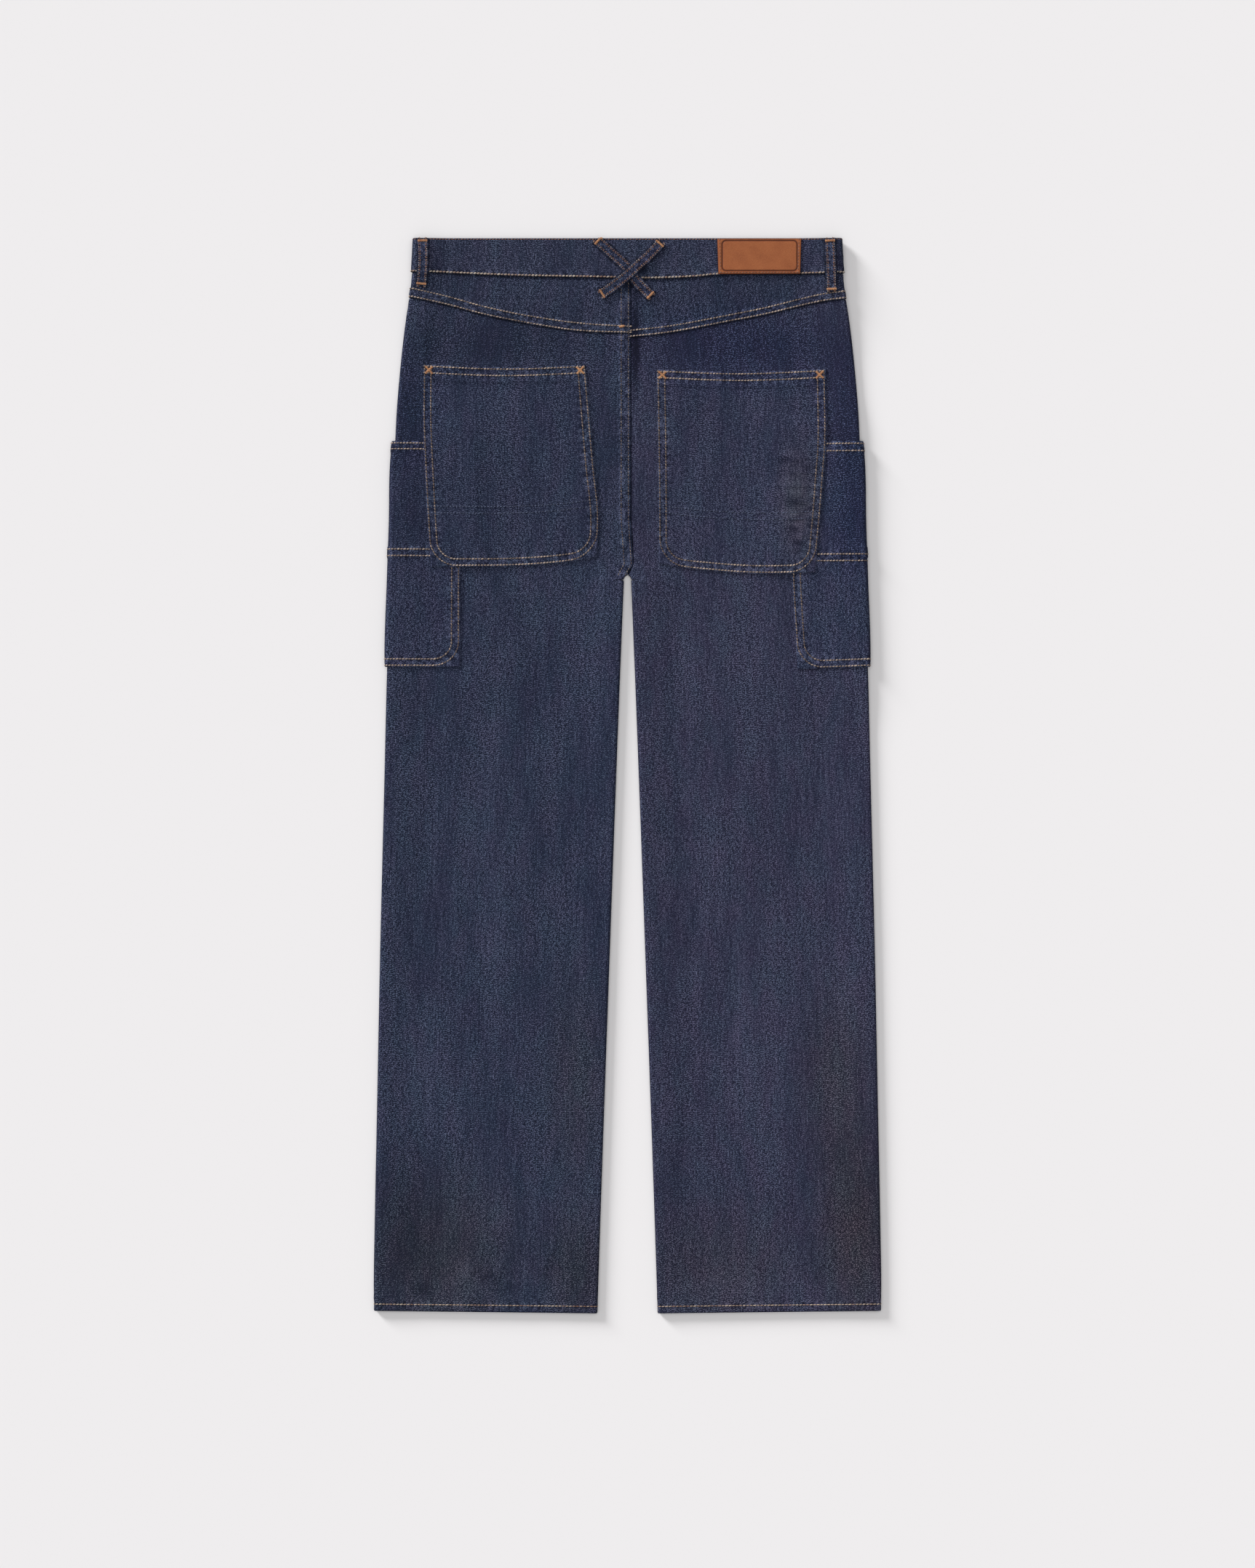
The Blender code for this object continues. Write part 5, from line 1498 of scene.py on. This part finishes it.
def stitch_tree():
    """Geometry Nodes that lay one thread after another along each row of sewing."""
    tree = bpy.data.node_groups.new("stitches", "GeometryNodeTree")
    tree.interface.new_socket("Geometry", in_out="INPUT", socket_type="NodeSocketGeometry")
    for name in STITCH_INPUTS[:-1]:
        tree.interface.new_socket(name, in_out="INPUT", socket_type="NodeSocketFloat")
    tree.interface.new_socket("Seed", in_out="INPUT", socket_type="NodeSocketInt")
    tree.interface.new_socket("Material", in_out="INPUT", socket_type="NodeSocketMaterial")
    tree.interface.new_socket("Geometry", in_out="OUTPUT", socket_type="NodeSocketGeometry")
    given = tree.nodes.new("NodeGroupInput").outputs
    curves = add(tree, "GeometryNodeMeshToCurve", None, {"Mesh": given["Geometry"]})
    spaced = add(tree, "GeometryNodeResampleCurve", {"mode": "LENGTH"}, {
        "Curve": result(curves), "Length": given["Pitch"],
    })
    out = add(tree, "GeometryNodeInputNamedAttribute", {"data_type": "FLOAT_VECTOR"}, {"Name": "out"})
    out = result(out, "Attribute")
    raised = add(tree, "ShaderNodeVectorMath", {"operation": "SCALE"}, {0: out, "Scale": given["Lift"]})
    laid = add(tree, "GeometryNodeSetPosition", None, {
        "Geometry": result(spaced), "Offset": result(raised),
    })
    tangent = result(add(tree, "GeometryNodeInputTangent"))
    ahead = add(tree, "FunctionNodeAlignRotationToVector", {"axis": "X"}, {"Vector": tangent})
    upright = add(tree, "FunctionNodeAlignRotationToVector", {"axis": "Z", "pivot_axis": "X"}, {
        "Rotation": result(ahead), "Vector": out,
    })
    skew = add(tree, "FunctionNodeRandomValue", {"data_type": "FLOAT"}, {
        "Min": -0.10, "Max": 0.10, "Seed": given["Seed"],
    })
    turn = add(tree, "ShaderNodeMath", {"operation": "ADD"}, {0: given["Turn"], 1: result(skew, "Value")})
    about = add(tree, "ShaderNodeCombineXYZ", None, {"Z": result(turn)})
    about = add(tree, "FunctionNodeEulerToRotation", None, {"Euler": result(about)})
    turned = add(tree, "FunctionNodeRotateRotation", {"rotation_space": "LOCAL"}, {
        "Rotation": result(upright), "Rotate By": result(about),
    })
    size = add(tree, "ShaderNodeCombineXYZ", None, {
        "X": given["Length"], "Y": given["Width"], "Z": given["Height"],
    })
    spread = add(tree, "FunctionNodeRandomValue", {"data_type": "FLOAT_VECTOR"}, {
        "Min": (0.86, 0.85, 0.85), "Max": (1.08, 1.12, 1.12), "Seed": given["Seed"],
    })
    scale = add(tree, "ShaderNodeVectorMath", {"operation": "MULTIPLY"}, {
        0: result(size), 1: result(spread, "Value"),
    })
    shape = add(tree, "GeometryNodeMeshUVSphere", None, {"Segments": 6, "Rings": 4, "Radius": 0.5})
    placed = add(tree, "GeometryNodeInstanceOnPoints", None, {
        "Points": result(laid), "Instance": result(shape, "Mesh"), "Rotation": result(turned),
        "Scale": result(scale),
    })
    tone = add(tree, "FunctionNodeRandomValue", {"data_type": "FLOAT"}, {
        "Min": 0.0, "Max": 1.0, "Seed": given["Seed"],
    })
    # Rows running down the legs are darkened here: painted shade.
    sunk = add(tree, "GeometryNodeInputNamedAttribute", {"data_type": "FLOAT"}, {"Name": "sunk"})
    tone = add(tree, "ShaderNodeMath", {"operation": "SUBTRACT"}, {
        0: result(tone, "Value"), 1: result(sunk, "Attribute"),
    })
    toned = add(tree, "GeometryNodeStoreNamedAttribute", {"data_type": "FLOAT", "domain": "INSTANCE"}, {
        "Geometry": result(placed), "Name": "tone", "Value": result(tone),
    })
    realized = add(tree, "GeometryNodeRealizeInstances", None, {"Geometry": result(toned)})
    softened = add(tree, "GeometryNodeSetShadeSmooth", None, {"Geometry": result(realized)})
    painted = add(tree, "GeometryNodeSetMaterial", None, {
        "Geometry": result(softened), "Material": given["Material"],
    })
    end = tree.nodes.new("NodeGroupOutput")
    tree.links.new(result(painted), end.inputs["Geometry"])
    return tree


def make_stitches(tree, kind, laid_rows, material):
    """Stitches on all the rows of one thread, as one plain mesh."""
    vertices = np.concatenate([row.points for row in laid_rows])
    vertices[:, 2] = np.maximum(vertices[:, 2], UNDER_CLEAR)
    starts = set(np.cumsum([len(row.points) for row in laid_rows]).tolist())
    edges = [(k - 1, k) for k in range(1, len(vertices)) if k not in starts]
    mesh = bpy.data.meshes.new(f"rows_{kind}")
    mesh.from_pydata(vertices.tolist(), edges, [])
    add_attribute(mesh, "out", np.concatenate([row.out for row in laid_rows]), "FLOAT_VECTOR", "vector")
    steps = np.concatenate([np.gradient(row.points, axis=0) for row in laid_rows])
    # Painted shade for rows that run down the legs.
    add_attribute(mesh, "sunk", STITCHES[kind].sunk * np.abs(steps[:, 1]) / np.linalg.norm(steps, axis=1))
    guide = link(mesh.name, mesh)
    modifier = guide.modifiers.new("stitches", "NODES")
    modifier.node_group = tree
    values = dict(zip(STITCH_INPUTS, STITCHES[kind]), Material=material)
    for item in tree.interface.items_tree:
        if item.in_out == "INPUT" and item.name in values:
            modifier[item.identifier] = values[item.name]
    evaluated = guide.evaluated_get(bpy.context.evaluated_depsgraph_get())
    stitched = bpy.data.meshes.new_from_object(evaluated)
    stitched.name = f"thread_{kind}"
    spots = np.empty(3 * len(stitched.vertices))
    stitched.vertices.foreach_get("co", spots)
    spots[2::3] = np.maximum(spots[2::3], 0.0)
    stitched.vertices.foreach_set("co", spots)
    piece = link(stitched.name, stitched)
    guide.modifiers.remove(modifier)
    bpy.data.objects.remove(guide)
    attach(piece, "root")


Piece = namedtuple("Piece", "node make side finish slot flat area rests_on")


def pieces_of_cloth():
    """Every cut piece, with the flat size of what shows of its cut, its area and what it lies on."""
    found = []
    trim, band = ("trim", "denim_trim"), ["cloth_waistband"]
    for side, word, loop in ((LEFT, "left", (0.012, 0.052)), (RIGHT, "right", (0.012, 0.057))):
        leg, pocket, cargo = f"leg_{word}", (f"pocket_{word}", "denim_pocket"), ("cargo", "denim_pocket")
        front, back = [f"cloth_front_{word}"], [f"cloth_back_{word}"]
        found += table(
            Piece,
            (f"back_{word}", make_back, side, leg, "denim_leg", (0.262, 1.010), 0.252, front),
            (f"yoke_{word}", make_yoke, side, "yoke", "denim_leg", (0.245, 0.060), 0.0105, front),
            (f"front_{word}", make_front, side, leg, "denim_leg", (0.240, 1.040), 0.210, ["waistband"]),
            (f"back_pocket_{word}", make_back_pocket, side, *pocket, (0.172, 0.203), None, back),
            (f"cargo_pocket_{word}", make_cargo_pocket, side, *cargo, (0.165, 0.228), None, back),
            (f"belt_loop_{word}", make_loop, side, *trim, loop, None, band),
            (f"front_belt_loop_{word}", make_front_loop, side, *trim, (0.012, 0.050), None, band),
        )
    yokes = ["cloth_yoke_left", "cloth_yoke_right"]
    return found + list(table(
        Piece,
        ("fly", make_fly, LEFT, "leg_left", "denim_leg", (0.042, 0.136), None, ["cloth_front_left"]),
        ("waistband", make_waistband, LEFT, "waistband", "denim_trim", (0.865, 0.0385), None, yokes),
        ("cross_loop_under", make_loop, LEFT, *trim, (0.012, 0.083), None, band),
        ("cross_loop_over", make_loop, RIGHT, *trim, (0.012, 0.085), None, band),
    ))


# Colours of the dye from dark over middle to light, as the photo shows each kind of piece.
DENIMS = {
    "leg_left": ("#0B1020", "#1E243A", "#535A72"),
    "leg_right": ("#0F1122", "#23253B", "#575B73"),
    "yoke": ("#0A0F20", "#1E2439", "#535A72"),
    "waistband": ("#0B1020", "#1F2439", "#545A71"),
    "pocket_left": ("#0A0F21", "#1C2238", "#525971"),
    "pocket_right": ("#0D1022", "#20243A", "#555A72"),
    "cargo": ("#0B0F21", "#1E233A", "#545A73"),
    "trim": ("#090E1F", "#1C2238", "#505770"),
}
THREADS = {
    "fine": ("dull_tan_thread", "#483C3B", "#9E9288"),
    "topstitch": ("tan_thread", "#51433D", "#A9978A"),
    "heavy": ("khaki_thread", "#684A3C", "#A69C90"),
    "dots": ("pale_thread", "#5C4238", "#AEA49C"),
    "orange": ("orange_thread", "#8D5A3E", "#B98B62"),
    "tonal": ("blue_thread", "#181E33", "#545D77"),
    "hem": ("hem_thread", "#6B4A3C", "#B0A08F"),
    "brown": ("brown_thread", "#5E3F34", "#84604E"),
}

# The order of the rows decides how each one gathers the cloth, so it stays.
sew_waistband()
for side in (LEFT, RIGHT):
    sew_yoke(side)
    sew_hem(side)
    sew_back_pocket(side)
    sew_cargo_pocket(side)
sew_seat()
sew_loops()
sew_patch()
sew_fly()

row_map = RowMap()
finishes = {name: denim(f"indigo_denim_{name}", *colours) for name, colours in DENIMS.items()}
for number, cut in enumerate(pieces_of_cloth()):
    make_cloth(cut, finishes[cut.finish], row_map, number)
make_patch(leather("tan_leather"))
make_button(brass("antique_brass"))
tree = stitch_tree()
for kind, laid_rows in rows.items():
    make_stitches(tree, kind, laid_rows, thread(*THREADS[kind]))

# A plain pale surface, a broad soft light from the upper left, and the camera straight above.
floor_mesh = bpy.data.meshes.new("floor")
floor_mesh.from_pydata([(-4, -4, 0), (4, -4, 0), (4, 4, 0), (-4, 4, 0)], [], [(0, 1, 2, 3)])
paper, _, paper_shader = new_material("matt_paper")
paper_shader.inputs["Base Color"].default_value = srgb("#EBE9EA")
paper_shader.inputs["Roughness"].default_value = 1.0
paper_shader.inputs["Specular IOR Level"].default_value = 0.0
floor_mesh.materials.append(paper)
link("floor", floor_mesh)

world = bpy.data.worlds.new("studio")
world.use_nodes = True
background = world.node_tree.nodes["Background"].inputs
background["Color"].default_value = (1.0, 1.0, 1.0, 1.0)
background["Strength"].default_value = 0.35
bpy.context.scene.world = world
bpy.context.scene.view_settings.view_transform = "Standard"


def make_light(name, towards, strength, spread):
    """A distant soft light, with the spread of its source in degrees."""
    light = link(name, bpy.data.lights.new(name, "SUN"))
    light.data.energy = strength
    light.data.angle = math.radians(spread)
    light.rotation_euler = Vector(towards).to_track_quat("-Z", "Y").to_euler()


make_light("key_from_upper_left", (1.0, -1.0, -0.375), 4.45, 17)
make_light("overhead", (0.0, 0.0, -1.0), 1.02, 70)

camera = link("camera", bpy.data.cameras.new("camera"))
camera.data.lens = 85
camera.data.sensor_width = 36
camera.data.clip_end = 100
camera.location = (0.0, -0.008, 3.695)
camera.rotation_euler = Euler((0.0, 0.0, 0.0))
bpy.context.scene.camera = camera
